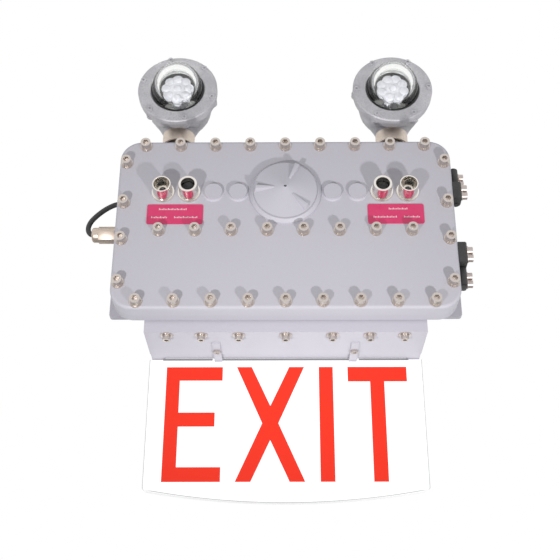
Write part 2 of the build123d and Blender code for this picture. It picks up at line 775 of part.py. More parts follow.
# Lamp heads: bowl, glass dome, clamping ring, reflector, petal lens and lamp board
ring_front_y = ring_back_y - ring_thickness
flange_seat_y = ring_back_y + reflector_wall
bowl_start_y = ring_back_y + lamp_flange_thickness
bowl_shoulder_y = ring_back_y + bowl_shoulder_depth
bowl_back_y = ring_back_y + bowl_depth
board_back_y = ring_back_y + reflector_depth
board_front_y = board_back_y - board_thickness
neck_bottom_z = collar_top_z + soft_gap
bowl_belly = bowl_start_y + (bowl_shoulder_y - bowl_start_y) * 0.5
belly_radius = (bowl_front_diameter + bowl_shoulder_diameter) / 4 + 1.0
back_bulge_y = bowl_shoulder_y + (bowl_back_y - bowl_shoulder_y) * 0.72
back_bulge_radius = bowl_shoulder_diameter / 2 * 0.70
for name, x, screw_angle, petal_angle in lamp_sides:
    with BuildPart() as shell:
        with BuildSketch(lathe(x, lamp_z)):
            with BuildLine():
                Line((0, ring_back_y), (bowl_front_diameter / 2, ring_back_y))
                Line((bowl_front_diameter / 2, ring_back_y), (bowl_front_diameter / 2, bowl_start_y))
                ThreePointArc(
                    (bowl_front_diameter / 2, bowl_start_y),
                    (belly_radius, bowl_belly),
                    (bowl_shoulder_diameter / 2, bowl_shoulder_y),
                )
                ThreePointArc(
                    (bowl_shoulder_diameter / 2, bowl_shoulder_y),
                    (back_bulge_radius, back_bulge_y),
                    (0, bowl_back_y),
                )
                Line((0, bowl_back_y), (0, ring_back_y))
            make_face()
        revolve(axis=depth_axis(x, lamp_z))
        with BuildSketch(front(bowl_start_y, x, lamp_z)) as flange_outline:
            lamp_outline(screw_angle)
            fillet(flange_outline.vertices(), radius=lug_blend)
        extrude(amount=lamp_flange_thickness)
        with BuildSketch(Plane.XY.offset(neck_bottom_z)):
            with Locations((x, lamp_axis_y)):
                Circle(neck_diameter / 2)
        extrude(amount=lamp_z - bowl_shoulder_diameter / 2 + 2 * bowl_wall - neck_bottom_z)
        with BuildSketch(Plane.XY.offset(neck_bottom_z)):
            with Locations((x, lamp_axis_y)):
                Circle(spigot_diameter / 2)
        extrude(amount=-spigot_length)
        with BuildSketch(lathe(x, lamp_z)):
            with BuildLine():
                Line((0, ring_back_y), (reflector_flange / 2 + 0.2, ring_back_y))
                Line((reflector_flange / 2 + 0.2, ring_back_y), (reflector_flange / 2 + 0.2, flange_seat_y))
                Line((reflector_flange / 2 + 0.2, flange_seat_y), (bowl_front_diameter / 2 - bowl_wall - 2, flange_seat_y))
                Line(
                    (bowl_front_diameter / 2 - bowl_wall - 2, flange_seat_y),
                    (bowl_front_diameter / 2 - bowl_wall - 2, bowl_start_y),
                )
                ThreePointArc(
                    (bowl_front_diameter / 2 - bowl_wall - 2, bowl_start_y),
                    (belly_radius - bowl_wall - 1, bowl_belly),
                    (bowl_shoulder_diameter / 2 - bowl_wall, bowl_shoulder_y),
                )
                ThreePointArc(
                    (bowl_shoulder_diameter / 2 - bowl_wall, bowl_shoulder_y),
                    (back_bulge_radius - bowl_wall * 0.7, back_bulge_y - bowl_wall * 0.7),
                    (0, bowl_back_y - bowl_wall),
                )
                Line((0, bowl_back_y - bowl_wall), (0, ring_back_y))
            make_face()
        revolve(axis=depth_axis(x, lamp_z), mode=Mode.SUBTRACT)
        with BuildSketch(front(bowl_back_y - bowl_wall / 2, x, lamp_z)):
            Circle(pedestal_diameter / 4)
        extrude(amount=bowl_back_y - bowl_wall / 2 - board_back_y - bowl_wall)
        with BuildSketch(front(board_back_y + bowl_wall, x, lamp_z)):
            Circle(pedestal_diameter / 2)
        extrude(amount=bowl_wall)
        with BuildSketch(Plane.XY.offset(neck_bottom_z - spigot_length)):
            with Locations((x, lamp_axis_y)):
                Circle(neck_bore / 2)
        extrude(amount=lamp_z - bowl_shoulder_diameter / 2 + 2 * bowl_wall - neck_bottom_z + spigot_length, mode=Mode.SUBTRACT)
        with BuildSketch(front(ring_back_y, x, lamp_z)):
            with PolarLocations(lug_circle / 2, lug_count, start_angle=screw_angle):
                Circle(lamp_screw_shank / 2 + thread_fit)
        extrude(amount=-lamp_screw_reach - 0.5, mode=Mode.SUBTRACT)
    shell.part.label = f"head_{name}_shell"
    export_step(shell.part, f"parts/head_{name}_shell.step")

    with BuildPart() as ring:
        with BuildSketch(front(ring_back_y, x, lamp_z)) as ring_sketch:
            lamp_outline(screw_angle)
            fillet(ring_sketch.vertices(), radius=lug_blend)
            Circle(ring_opening / 2, mode=Mode.SUBTRACT)
        extrude(amount=ring_thickness)
        chamfer(ring.faces().sort_by(Axis.Y)[0].edges(), length=ring_edge)
        with BuildSketch(front(ring_back_y, x, lamp_z)):
            Circle(glass_flange / 2 + thread_fit)
        extrude(amount=glass_flange_thickness, mode=Mode.SUBTRACT)
        with BuildSketch(front(ring_back_y, x, lamp_z)):
            with PolarLocations(lug_circle / 2, lug_count, start_angle=screw_angle):
                Circle(lamp_screw_shank / 2 + thread_fit)
        extrude(amount=ring_thickness, mode=Mode.SUBTRACT)
    ring.part.label = f"head_{name}_ring"
    export_step(ring.part, f"parts/head_{name}_ring.step")

    with BuildPart() as glass:
        dome_y = ring_back_y - glass_flange_thickness
        inner_radius = glass_radius - glass_thickness
        with BuildSketch(lathe(x, lamp_z)):
            with BuildLine():
                Line((0, dome_y - inner_radius), (0, dome_y - glass_radius))
                CenterArc((0, dome_y), glass_radius, -90, 90)
                Polyline(
                    (glass_radius, dome_y),
                    (glass_flange / 2, dome_y),
                    (glass_flange / 2, ring_back_y),
                    (inner_radius, ring_back_y),
                    (inner_radius, dome_y),
                )
                CenterArc((0, dome_y), inner_radius, -90, 90)
            make_face()
        revolve(axis=depth_axis(x, lamp_z))
    glass.part.label = f"head_{name}_glass"
    export_step(glass.part, f"parts/head_{name}_glass.step")

    with BuildPart() as reflector:
        with BuildSketch(lathe(x, lamp_z)):
            with BuildLine():
                Polyline(
                    (reflector_flange / 2, ring_back_y),
                    (reflector_flange / 2, flange_seat_y),
                    (inner_radius + reflector_wall, flange_seat_y),
                    (reflector_throat / 2 + reflector_wall, board_back_y),
                    (reflector_throat / 2, board_back_y),
                    (inner_radius, ring_back_y),
                    close=True,
                )
            make_face()
        revolve(axis=depth_axis(x, lamp_z))
    reflector.part.label = f"head_{name}_reflector"
    export_step(reflector.part, f"parts/head_{name}_reflector.step")

    with BuildPart() as board:
        with BuildSketch(front(board_back_y, x, lamp_z)):
            Circle(board_diameter / 2)
        extrude(amount=board_thickness)
    board.part.label = f"head_{name}_board"
    export_step(board.part, f"parts/head_{name}_board.step")

    with BuildPart() as lens:
        lens_back_y = lens_front_y + lens_thickness
        petal_circle = (lens_diameter - petal_diameter) / 2
        with BuildSketch(front(lens_back_y, x, lamp_z)):
            Circle(petal_circle)
            with PolarLocations(petal_circle, lens_petals, start_angle=petal_angle):
                Circle(petal_diameter / 2)
        extrude(amount=lens_thickness, taper=4.0)
        with BuildSketch(front(board_front_y, x, lamp_z)):
            Circle(lens_stem / 2)
        extrude(amount=board_front_y - lens_back_y)
    lens.part.label = f"head_{name}_lens"
    export_step(lens.part, f"parts/head_{name}_lens.step")

    with BuildPart() as lamp_screws:
        with BuildSketch(front(ring_front_y, x, lamp_z)):
            with PolarLocations(lug_circle / 2, lug_count, start_angle=screw_angle):
                Circle(lamp_screw_head / 2)
        extrude(amount=lamp_screw_head_height)
        with BuildSketch(front(ring_front_y, x, lamp_z)):
            with PolarLocations(lug_circle / 2, lug_count, start_angle=screw_angle):
                Circle(lamp_screw_shank / 2)
        extrude(amount=-ring_thickness - lamp_screw_reach)
        with BuildSketch(front(ring_front_y - lamp_screw_head_height, x, lamp_z)):
            with PolarLocations(lug_circle / 2, lug_count, start_angle=screw_angle):
                RegularPolygon(radius=hex_radius(lamp_screw_socket), side_count=6)
        extrude(amount=-lamp_screw_head_height * 0.6, mode=Mode.SUBTRACT)
    lamp_screws.part.label = f"head_{name}_screws"
    export_step(lamp_screws.part, f"parts/head_{name}_screws.step")


# Height of the drafted underside of the body at a depth
def underside_z(y):
    return -body_height / 2 + (y - flange_back_y) * tan(radians(body_draft))


# Sign box: hung under the body, open below in front, with a slot for the panel behind
strip_back_y = box_front_y + cover_strip_depth
strip_top_z = box_bottom_z + cover_strip_thickness
rear_bottom_z = box_bottom_z + box_step
slot_front_y = panel_front_y - slot_clearance
slot_back_y = panel_front_y + panel_thickness + slot_clearance
tongue_top_z = box_bottom_z + tongue_height
slot_top_z = tongue_top_z + light_bar_gap + light_bar_height
cavity_front_y = box_front_y + box_front_wall
cavity_top_z = underside_z(box_front_y) - box_wall
with BuildPart() as sign_box:
    with BuildSketch(side(-box_width / 2)):
        with BuildLine():
            Polyline(
                (box_front_y, underside_z(box_front_y)),
                (box_back_y, underside_z(box_back_y)),
                (box_back_y, rear_bottom_z),
                (strip_back_y, rear_bottom_z),
                (strip_back_y, strip_top_z),
                (box_front_y, strip_top_z),
                close=True,
            )
        make_face()
    extrude(amount=box_width)
    with BuildSketch(Plane.XY.offset(strip_top_z)):
        with Locations((0, (cavity_front_y + strip_back_y - box_wall) / 2)):
            Rectangle(box_width - 2 * box_wall, strip_back_y - box_wall - cavity_front_y)
    extrude(amount=cavity_top_z - strip_top_z, mode=Mode.SUBTRACT)
    with BuildSketch(Plane.XY.offset(rear_bottom_z)):
        with Locations((0, (slot_front_y + slot_back_y) / 2)):
            Rectangle(tongue_width + 2 * slot_clearance, slot_back_y - slot_front_y)
    extrude(amount=slot_top_z - rear_bottom_z, mode=Mode.SUBTRACT)
    with BuildSketch(Plane.XY.offset(strip_top_z)):
        with Locations(*[(s * x, box_front_y + sign_screw_inset) for s in (-1, 1) for x in sign_screw_positions]):
            Circle(hinge_shank / 2 + thread_fit)
        with Locations((0, box_front_y + sign_screw_inset)):
            Circle(hinge_shank / 2 + thread_fit)
    extrude(amount=sign_screw_reach + 1.0, mode=Mode.SUBTRACT)
    with BuildSketch(Plane.XY.offset(cavity_top_z)):
        with Locations(*[(s * x, box_screw_y) for s in (-1, 1) for x in box_screw_positions]):
            Circle(plate_screw_shank / 2 + loose_fit)
    extrude(amount=2 * box_wall, mode=Mode.SUBTRACT)
sign_box.part.label = "sign_box"
export_step(sign_box.part, "parts/sign_box.step")

sign_screw_points = [(0.0, box_front_y + sign_screw_inset)]
sign_screw_points += [(s * x, box_front_y + sign_screw_inset) for s in (-1, 1) for x in sign_screw_positions]
clip_points = [(-clip_x, clip_screw_y), (clip_x, clip_screw_y)]
with BuildPart() as sign_box_plate:
    with BuildSketch(Plane.XY.offset(box_bottom_z)):
        with Locations((0, (box_front_y + strip_back_y) / 2)):
            Rectangle(box_width, cover_strip_depth)
        with Locations(*sign_screw_points):
            Circle(hinge_shank / 2 + loose_fit, mode=Mode.SUBTRACT)
        with Locations(*clip_points):
            Circle(hinge_shank / 2 + thread_fit, mode=Mode.SUBTRACT)
    extrude(amount=cover_strip_thickness)
sign_box_plate.part.label = "sign_box_plate"
export_step(sign_box_plate.part, "parts/sign_box_plate.step")

with BuildPart() as sign_screws:
    with BuildSketch(Plane.XY.offset(box_bottom_z)):
        with Locations(*sign_screw_points):
            Circle(hinge_washer / 2)
    extrude(amount=-hinge_washer_thickness)
    with BuildSketch(Plane.XY.offset(box_bottom_z)):
        with Locations(*sign_screw_points):
            Circle(hinge_shank / 2)
    extrude(amount=cover_strip_thickness + sign_screw_reach)
    with BuildSketch(Plane.XY.offset(box_bottom_z - hinge_washer_thickness)):
        with Locations(*sign_screw_points):
            Circle(hinge_head / 2)
    extrude(amount=-hinge_head_height)
    with BuildSketch(Plane.XY.offset(box_bottom_z - hinge_washer_thickness - hinge_head_height)):
        with Locations(*sign_screw_points):
            RegularPolygon(radius=hex_radius(hinge_head / 2), side_count=6)
    extrude(amount=hinge_head_height / 2, mode=Mode.SUBTRACT)
sign_screws.part.label = "sign_screws"
export_step(sign_screws.part, "parts/sign_screws.step")

# Panel clips: flat strips with a turned-down lip that bears on the panel
clip_back_y = panel_front_y - 0.1
with BuildPart() as panel_clips:
    for sign in (-1, 1):
        with BuildSketch(side(sign * clip_x - clip_width / 2)):
            with BuildLine():
                Polyline(
                    (clip_front_y, box_bottom_z),
                    (clip_back_y, box_bottom_z),
                    (clip_back_y, box_bottom_z - clip_lip),
                    (clip_back_y - clip_thickness, box_bottom_z - clip_lip),
                    (clip_back_y - clip_thickness, box_bottom_z - clip_thickness),
                    (clip_front_y, box_bottom_z - clip_thickness),
                    close=True,
                )
            make_face()
        extrude(amount=clip_width)
    with BuildSketch(Plane.XY.offset(box_bottom_z)):
        with Locations(*clip_points):
            Circle(hinge_shank / 2 + loose_fit)
    extrude(amount=-clip_thickness, mode=Mode.SUBTRACT)
panel_clips.part.label = "panel_clips"
export_step(panel_clips.part, "parts/panel_clips.step")

with BuildPart() as clip_screws:
    with BuildSketch(Plane.XY.offset(box_bottom_z - clip_thickness)):
        with Locations(*clip_points):
            Circle(hinge_head / 2)
    extrude(amount=-hinge_head_height / 2)
    with BuildSketch(Plane.XY.offset(box_bottom_z - clip_thickness)):
        with Locations(*clip_points):
            Circle(hinge_shank / 2)
    extrude(amount=clip_thickness + cover_strip_thickness)
    with BuildSketch(Plane.XY.offset(box_bottom_z - clip_thickness - hinge_head_height / 2)):
        with Locations(*clip_points):
            RegularPolygon(radius=hex_radius(hinge_head / 2.5), side_count=6)
    extrude(amount=hinge_head_height / 4, mode=Mode.SUBTRACT)
clip_screws.part.label = "clip_screws"
export_step(clip_screws.part, "parts/clip_screws.step")

# Sign panel: a clear sheet with a tongue up into the slot and an arched lower edge
with BuildPart() as sign_panel:
    with BuildSketch(front(panel_front_y + panel_thickness)):
        with BuildLine() as panel_outline:
            Polyline(
                (panel_width / 2, panel_side_z),
                (panel_width / 2, box_bottom_z),
                (tongue_width / 2, box_bottom_z),
                (tongue_width / 2, tongue_top_z),
                (-tongue_width / 2, tongue_top_z),
                (-tongue_width / 2, box_bottom_z),
                (-panel_width / 2, box_bottom_z),
                (-panel_width / 2, panel_side_z),
            )
            ThreePointArc((-panel_width / 2, panel_side_z), (0, panel_bottom_z), (panel_width / 2, panel_side_z))
        make_face()
    extrude(amount=panel_thickness)
    panel_corners = sign_panel.edges().filter_by(Axis.Y).filter_by(
        lambda e: abs(abs(e.center().X) - panel_width / 2) < 0.01
    )
    fillet(panel_corners, radius=panel_corner)
sign_panel.part.label = "sign_panel"
export_step(sign_panel.part, "parts/sign_panel.step")

with BuildPart() as sign_light_bar:
    with BuildSketch(Plane.XY.offset(slot_top_z)):
        with Locations((0, (slot_front_y + slot_back_y) / 2)):
            Rectangle(tongue_width - 10.0, panel_thickness - 1.0)
    extrude(amount=-light_bar_height)
sign_light_bar.part.label = "sign_light_bar"
export_step(sign_light_bar.part, "parts/sign_light_bar.step")

with BuildPart() as sign_box_screws:
    box_screw_points = [(s * x, box_screw_y) for s in (-1, 1) for x in box_screw_positions]
    with BuildSketch(Plane.XY.offset(cavity_top_z)):
        with Locations(*box_screw_points):
            Circle(plate_screw_head / 2)
    extrude(amount=-hinge_head_height)
    with BuildSketch(Plane.XY.offset(cavity_top_z)):
        with Locations(*box_screw_points):
            Circle(plate_screw_shank / 2)
    extrude(amount=box_wall + side_wall / 2)
sign_box_screws.part.label = "sign_box_screws"
export_step(sign_box_screws.part, "parts/sign_box_screws.step")

# Mounting plate, screwed flat on the back of the housing
with BuildPart() as mounting_plate:
    with BuildSketch(wall(body_back_y)):
        RectangleRounded(plate_width, plate_height, plate_corner)
        with GridLocations(wall_hole_width, wall_hole_height, 2, 2):
            Circle(wall_hole / 2, mode=Mode.SUBTRACT)
        with GridLocations(plate_screw_width, plate_screw_height, 2, 2):
            Circle(plate_screw_shank / 2 + loose_fit, mode=Mode.SUBTRACT)
    extrude(amount=plate_thickness)
    with BuildSketch(wall(0)):
        with GridLocations(plate_screw_width, plate_screw_height, 2, 2):
            Circle(plate_screw_head / 2 + loose_fit)
    extrude(amount=-plate_thickness / 2, mode=Mode.SUBTRACT)
mounting_plate.part.label = "mounting_plate"
export_step(mounting_plate.part, "parts/mounting_plate.step")

with BuildPart() as plate_screws:
    with BuildSketch(wall(-plate_thickness / 2)):
        with GridLocations(plate_screw_width, plate_screw_height, 2, 2):
            Circle(plate_screw_head / 2)
    extrude(amount=plate_thickness / 2 - loose_fit)
    with BuildSketch(wall(-plate_thickness / 2)):
        with GridLocations(plate_screw_width, plate_screw_height, 2, 2):
            Circle(plate_screw_shank / 2)
    extrude(amount=-plate_thickness / 2 - plate_screw_reach)
plate_screws.part.label = "plate_screws"
export_step(plate_screws.part, "parts/plate_screws.step")

# Battery pack: two rows of cells in one sleeve on the back wall of the lower pocket
with BuildPart() as battery_pack:
    with BuildSketch(side(battery_x - cell_length * cells_in_row / 2)):
        with Locations((pocket_back_y - cell_diameter / 2, lower_pocket_z)):
            SlotCenterToCenter(cell_diameter, cell_diameter, rotation=90)
    extrude(amount=cell_length * cells_in_row)
battery_pack.part.label = "battery_pack"
export_step(battery_pack.part, "parts/battery_pack.step")

# Driver board on its standoffs, with a transformer and two capacitors
driver_back_y = pocket_back_y - standoff_height
with BuildPart() as driver_board:
    with BuildSketch(front(driver_back_y, driver_x, upper_pocket_z)):
        Rectangle(board_width, board_height)
    extrude(amount=driver_thickness)
    with BuildSketch(front(driver_back_y - driver_thickness, driver_x, upper_pocket_z)):
        with Locations((-board_width / 4, 0)):
            Rectangle(board_height / 2, board_height / 2)
    extrude(amount=board_height / 3)
    with BuildSketch(front(driver_back_y - driver_thickness, driver_x, upper_pocket_z)):
        with Locations((board_width / 5, board_height / 5), (board_width / 5, -board_height / 5)):
            Circle(board_height / 8)
    extrude(amount=board_height / 4)
driver_board.part.label = "driver_board"
export_step(driver_board.part, "parts/driver_board.step")

# Terminal block near the glands, a stepped moulding with one entry for each way
with BuildPart() as terminal_block:
    terminal_length = terminal_ways * terminal_pitch
    with BuildSketch(side(terminal_x - terminal_length / 2)):
        with BuildLine():
            Polyline(
                (pocket_back_y, upper_pocket_z - 12.0),
                (pocket_back_y, upper_pocket_z + 12.0),
                (pocket_back_y - 8.0, upper_pocket_z + 12.0),
                (pocket_back_y - 18.0, upper_pocket_z + 6.0),
                (pocket_back_y - 18.0, upper_pocket_z - 6.0),
                (pocket_back_y - 8.0, upper_pocket_z - 12.0),
                close=True,
            )
        make_face()
    extrude(amount=terminal_length)
    with BuildSketch(front(pocket_back_y - 18.0, terminal_x, upper_pocket_z)):
        with GridLocations(terminal_pitch, 1, terminal_ways, 1):
            Rectangle(terminal_pitch * 0.6, 6.0)
    extrude(amount=-6.0, mode=Mode.SUBTRACT)
terminal_block.part.label = "terminal_block"
export_step(terminal_block.part, "parts/terminal_block.step")
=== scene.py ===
# Wall-mounted emergency exit light: cast enclosure, two lamp heads on pipes and a hung sign panel
import math

import bmesh
import bpy
from mathutils import Matrix, Vector


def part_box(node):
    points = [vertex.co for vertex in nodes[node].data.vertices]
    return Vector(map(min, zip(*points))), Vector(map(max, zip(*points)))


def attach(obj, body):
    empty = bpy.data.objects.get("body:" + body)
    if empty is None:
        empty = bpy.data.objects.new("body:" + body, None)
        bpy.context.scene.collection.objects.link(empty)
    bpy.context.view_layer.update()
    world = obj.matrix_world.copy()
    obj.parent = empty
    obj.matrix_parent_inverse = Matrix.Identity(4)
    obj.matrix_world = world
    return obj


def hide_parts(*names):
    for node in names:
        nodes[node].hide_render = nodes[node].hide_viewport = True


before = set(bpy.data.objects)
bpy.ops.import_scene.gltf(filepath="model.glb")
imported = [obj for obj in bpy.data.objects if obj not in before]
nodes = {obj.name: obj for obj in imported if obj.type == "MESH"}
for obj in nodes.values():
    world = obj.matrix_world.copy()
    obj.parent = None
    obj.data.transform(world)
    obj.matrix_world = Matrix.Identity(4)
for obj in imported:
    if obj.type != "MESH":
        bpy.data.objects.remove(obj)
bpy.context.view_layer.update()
mm = 0.001
print("frame loaded:", len(nodes), "nodes")

# The photo's camera: a short tele lens from straight ahead and below
camera = {
    "lens": 65.75,
    "place": (-0.00092, -1.27729, -0.65886),
    "lookUp": 26.957,  # degrees above level
    "turn": 0.302,
}
camData = bpy.data.cameras.new("camera")
camData.lens = camera["lens"]
camData.clip_start = 0.01
cam = bpy.data.objects.new("camera", camData)
cam.location = camera["place"]
cam.rotation_euler = (math.radians(90 + camera["lookUp"]), 0, math.radians(camera["turn"]))
bpy.context.scene.collection.objects.link(cam)
bpy.context.scene.camera = cam
bpy.context.scene.view_settings.view_transform = "Standard"


# Small helpers for shader trees
def addNode(tree, kind, **settings):
    node = tree.nodes.new(kind)
    for key, value in settings.items():
        setattr(node, key, value)
    return node


def setInputs(node, values):
    for key, value in values.items():
        node.inputs[key].default_value = value


def colour(r, g, b):
    return (r, g, b, 1.0)


def newGroup(name, inputs, outputs):
    group = bpy.data.node_groups.new(name, "ShaderNodeTree")
    for label, kind, value in inputs:
        socket = group.interface.new_socket(name=label, in_out="INPUT", socket_type=kind)
        socket.default_value = value
    for label, kind in outputs:
        group.interface.new_socket(name=label, in_out="OUTPUT", socket_type=kind)
    return group, addNode(group, "NodeGroupInput"), addNode(group, "NodeGroupOutput")


colourKind = "NodeSocketColor"
floatKind = "NodeSocketFloat"
vectorKind = "NodeSocketVector"


# Fine speckle with a slow cloud over it, for powder coat, castings and moulded plastic
def makeSpeckleGroup():
    group, source, sink = newGroup(
        "speckledSkin",
        [
            ("Color", colourKind, colour(0.5, 0.5, 0.5)),
            ("Fleck Color", colourKind, colour(0.4, 0.4, 0.4)),
            ("Fleck Amount", floatKind, 0.3),
            ("Fleck Scale", floatKind, 900.0),
            ("Cloud Amount", floatKind, 0.1),
            ("Cloud Scale", floatKind, 12.0),
            ("Roughness", floatKind, 0.5),
            ("Roughness Spread", floatKind, 0.1),
        ],
        [("Color", colourKind), ("Roughness", floatKind), ("Height", floatKind)],
    )
    link = group.links.new
    place = addNode(group, "ShaderNodeTexCoord")
    fleck = addNode(group, "ShaderNodeTexNoise")
    fleck.inputs["Detail"].default_value = 3.0
    cloud = addNode(group, "ShaderNodeTexNoise")
    cloud.inputs["Detail"].default_value = 4.0
    link(place.outputs["Object"], fleck.inputs["Vector"])
    link(place.outputs["Object"], cloud.inputs["Vector"])
    link(source.outputs["Fleck Scale"], fleck.inputs["Scale"])
    link(source.outputs["Cloud Scale"], cloud.inputs["Scale"])
    fleckMask = addNode(group, "ShaderNodeMapRange")
    setInputs(fleckMask, {"From Min": 0.42, "From Max": 0.68})
    link(fleck.outputs["Fac"], fleckMask.inputs["Value"])
    fleckShare = addNode(group, "ShaderNodeMath", operation="MULTIPLY")
    link(fleckMask.outputs["Result"], fleckShare.inputs[0])
    link(source.outputs["Fleck Amount"], fleckShare.inputs[1])
    fleckMix = addNode(group, "ShaderNodeMix", data_type="RGBA")
    link(fleckShare.outputs["Value"], fleckMix.inputs[0])
    link(source.outputs["Color"], fleckMix.inputs[6])
    link(source.outputs["Fleck Color"], fleckMix.inputs[7])
    cloudMask = addNode(group, "ShaderNodeMapRange")
    setInputs(cloudMask, {"From Min": 0.3, "From Max": 0.7})
    link(cloud.outputs["Fac"], cloudMask.inputs["Value"])
    cloudShare = addNode(group, "ShaderNodeMath", operation="MULTIPLY")
    link(cloudMask.outputs["Result"], cloudShare.inputs[0])
    link(source.outputs["Cloud Amount"], cloudShare.inputs[1])
    cloudMix = addNode(group, "ShaderNodeMix", data_type="RGBA")
    link(cloudShare.outputs["Value"], cloudMix.inputs[0])
    link(fleckMix.outputs[2], cloudMix.inputs[6])
    link(source.outputs["Fleck Color"], cloudMix.inputs[7])
    link(cloudMix.outputs[2], sink.inputs["Color"])
    roughSpread = addNode(group, "ShaderNodeMath", operation="MULTIPLY_ADD")
    link(cloudMask.outputs["Result"], roughSpread.inputs[0])
    link(source.outputs["Roughness Spread"], roughSpread.inputs[1])
    link(source.outputs["Roughness"], roughSpread.inputs[2])
    link(roughSpread.outputs["Value"], sink.inputs["Roughness"])
    link(fleck.outputs["Fac"], sink.inputs["Height"])
    return group


# Turning or brushing lines that follow one stretched direction, for bare metal
def makeToolLineGroup():
    group, source, sink = newGroup(
        "toolLines",
        [
            ("Color", colourKind, colour(0.6, 0.6, 0.6)),
            ("Line Color", colourKind, colour(0.4, 0.4, 0.4)),
            ("Line Amount", floatKind, 0.3),
            ("Stretch", vectorKind, (1.0, 1.0, 1.0)),
            ("Line Scale", floatKind, 600.0),
            ("Roughness", floatKind, 0.3),
            ("Roughness Spread", floatKind, 0.15),
        ],
        [("Color", colourKind), ("Roughness", floatKind), ("Height", floatKind)],
    )
    link = group.links.new
    place = addNode(group, "ShaderNodeTexCoord")
    stretch = addNode(group, "ShaderNodeVectorMath", operation="MULTIPLY")
    link(place.outputs["Object"], stretch.inputs[0])
    link(source.outputs["Stretch"], stretch.inputs[1])
    lines = addNode(group, "ShaderNodeTexNoise")
    lines.inputs["Detail"].default_value = 4.0
    link(stretch.outputs["Vector"], lines.inputs["Vector"])
    link(source.outputs["Line Scale"], lines.inputs["Scale"])
    mask = addNode(group, "ShaderNodeMapRange")
    setInputs(mask, {"From Min": 0.35, "From Max": 0.65})
    link(lines.outputs["Fac"], mask.inputs["Value"])
    share = addNode(group, "ShaderNodeMath", operation="MULTIPLY")
    link(mask.outputs["Result"], share.inputs[0])
    link(source.outputs["Line Amount"], share.inputs[1])
    mix = addNode(group, "ShaderNodeMix", data_type="RGBA")
    link(share.outputs["Value"], mix.inputs[0])
    link(source.outputs["Color"], mix.inputs[6])
    link(source.outputs["Line Color"], mix.inputs[7])
    link(mix.outputs[2], sink.inputs["Color"])
    rough = addNode(group, "ShaderNodeMath", operation="MULTIPLY_ADD")
    link(mask.outputs["Result"], rough.inputs[0])
    link(source.outputs["Roughness Spread"], rough.inputs[1])
    link(source.outputs["Roughness"], rough.inputs[2])
    link(rough.outputs["Value"], sink.inputs["Roughness"])
    link(lines.outputs["Fac"], sink.inputs["Height"])
    return group


speckleGroup = makeSpeckleGroup()
toolLineGroup = makeToolLineGroup()


# One material: the effect group feeds colour, roughness and bump, the rest is set on the shader
def makeMaterial(name, group, groupValues, shaderValues, bump, bumpDistance=0.0003):
    mat = bpy.data.materials.new(name)
    mat.use_nodes = True
    tree = mat.node_tree
    shader = tree.nodes["Principled BSDF"]
    effect = addNode(tree, "ShaderNodeGroup", node_tree=group)
    setInputs(effect, groupValues)
    setInputs(shader, shaderValues)
    tree.links.new(effect.outputs["Color"], shader.inputs["Base Color"])
    tree.links.new(effect.outputs["Roughness"], shader.inputs["Roughness"])
    bumpNode = addNode(tree, "ShaderNodeBump")
    setInputs(bumpNode, {"Strength": bump, "Distance": bumpDistance})
    tree.links.new(effect.outputs["Height"], bumpNode.inputs["Height"])
    tree.links.new(bumpNode.outputs["Normal"], shader.inputs["Normal"])
    return mat


def speckled(name, base, fleck, values, shader, bump):
    groupValues = {"Color": base, "Fleck Color": fleck}
    groupValues.update(values)
    return makeMaterial(name, speckleGroup, groupValues, shader, bump)


def lined(name, base, line, values, shader, bump):
    groupValues = {"Color": base, "Line Color": line}
    groupValues.update(values)
    return makeMaterial(name, toolLineGroup, groupValues, shader, bump)


# Painted castings: satin light grey coat, a little rougher on the lamp heads
paint = {
    "coverGrey": colour(0.535, 0.520, 0.575),
    "coverFleck": colour(0.47, 0.455, 0.51),
    "headGrey": colour(0.61, 0.60, 0.63),
    "headFleckAndReflection": colour(0.36, 0.355, 0.38),
    "boxGrey": colour(0.555, 0.535, 0.595),
}
coatShader = {"Metallic": 0.0, "Specular IOR Level": 0.4}
coverPaint = speckled(
    "coverPaint", paint["coverGrey"], paint["coverFleck"],
    {"Fleck Amount": 0.35, "Fleck Scale": 1400.0, "Cloud Amount": 0.18, "Cloud Scale": 9.0,
     "Roughness": 0.46, "Roughness Spread": 0.08},
    coatShader, 0.25,
)
housingPaint = speckled(
    "housingPaint", paint["coverGrey"], paint["coverFleck"],
    {"Fleck Amount": 0.5, "Fleck Scale": 1000.0, "Cloud Amount": 0.25, "Cloud Scale": 14.0,
     "Roughness": 0.52, "Roughness Spread": 0.1},
    coatShader, 0.45,
)
boxPaint = speckled(
    "boxPaint", paint["boxGrey"], paint["coverGrey"],
    {"Fleck Amount": 0.4, "Fleck Scale": 1400.0, "Cloud Amount": 0.3, "Cloud Scale": 7.0,
     "Roughness": 0.45, "Roughness Spread": 0.08},
    coatShader, 0.25,
)
# The lamp heads' strong dark cloud is partly mottle of the cast coat and partly painted reflection: it stands in
# for the dark reflections on the heads
headCasting = speckled(
    "headCasting", paint["headGrey"], paint["headFleckAndReflection"],
    {"Fleck Amount": 0.6, "Fleck Scale": 700.0, "Cloud Amount": 0.5, "Cloud Scale": 38.0,
     "Roughness": 0.42, "Roughness Spread": 0.16},
    {"Metallic": 0.25, "Specular IOR Level": 0.5}, 0.6,
)
platePaint = speckled(
    "platePaint", paint["coverGrey"], paint["coverFleck"],
    {"Fleck Amount": 0.4, "Fleck Scale": 1200.0, "Cloud Amount": 0.2, "Cloud Scale": 10.0,
     "Roughness": 0.5, "Roughness Spread": 0.1},
    coatShader, 0.3,
)

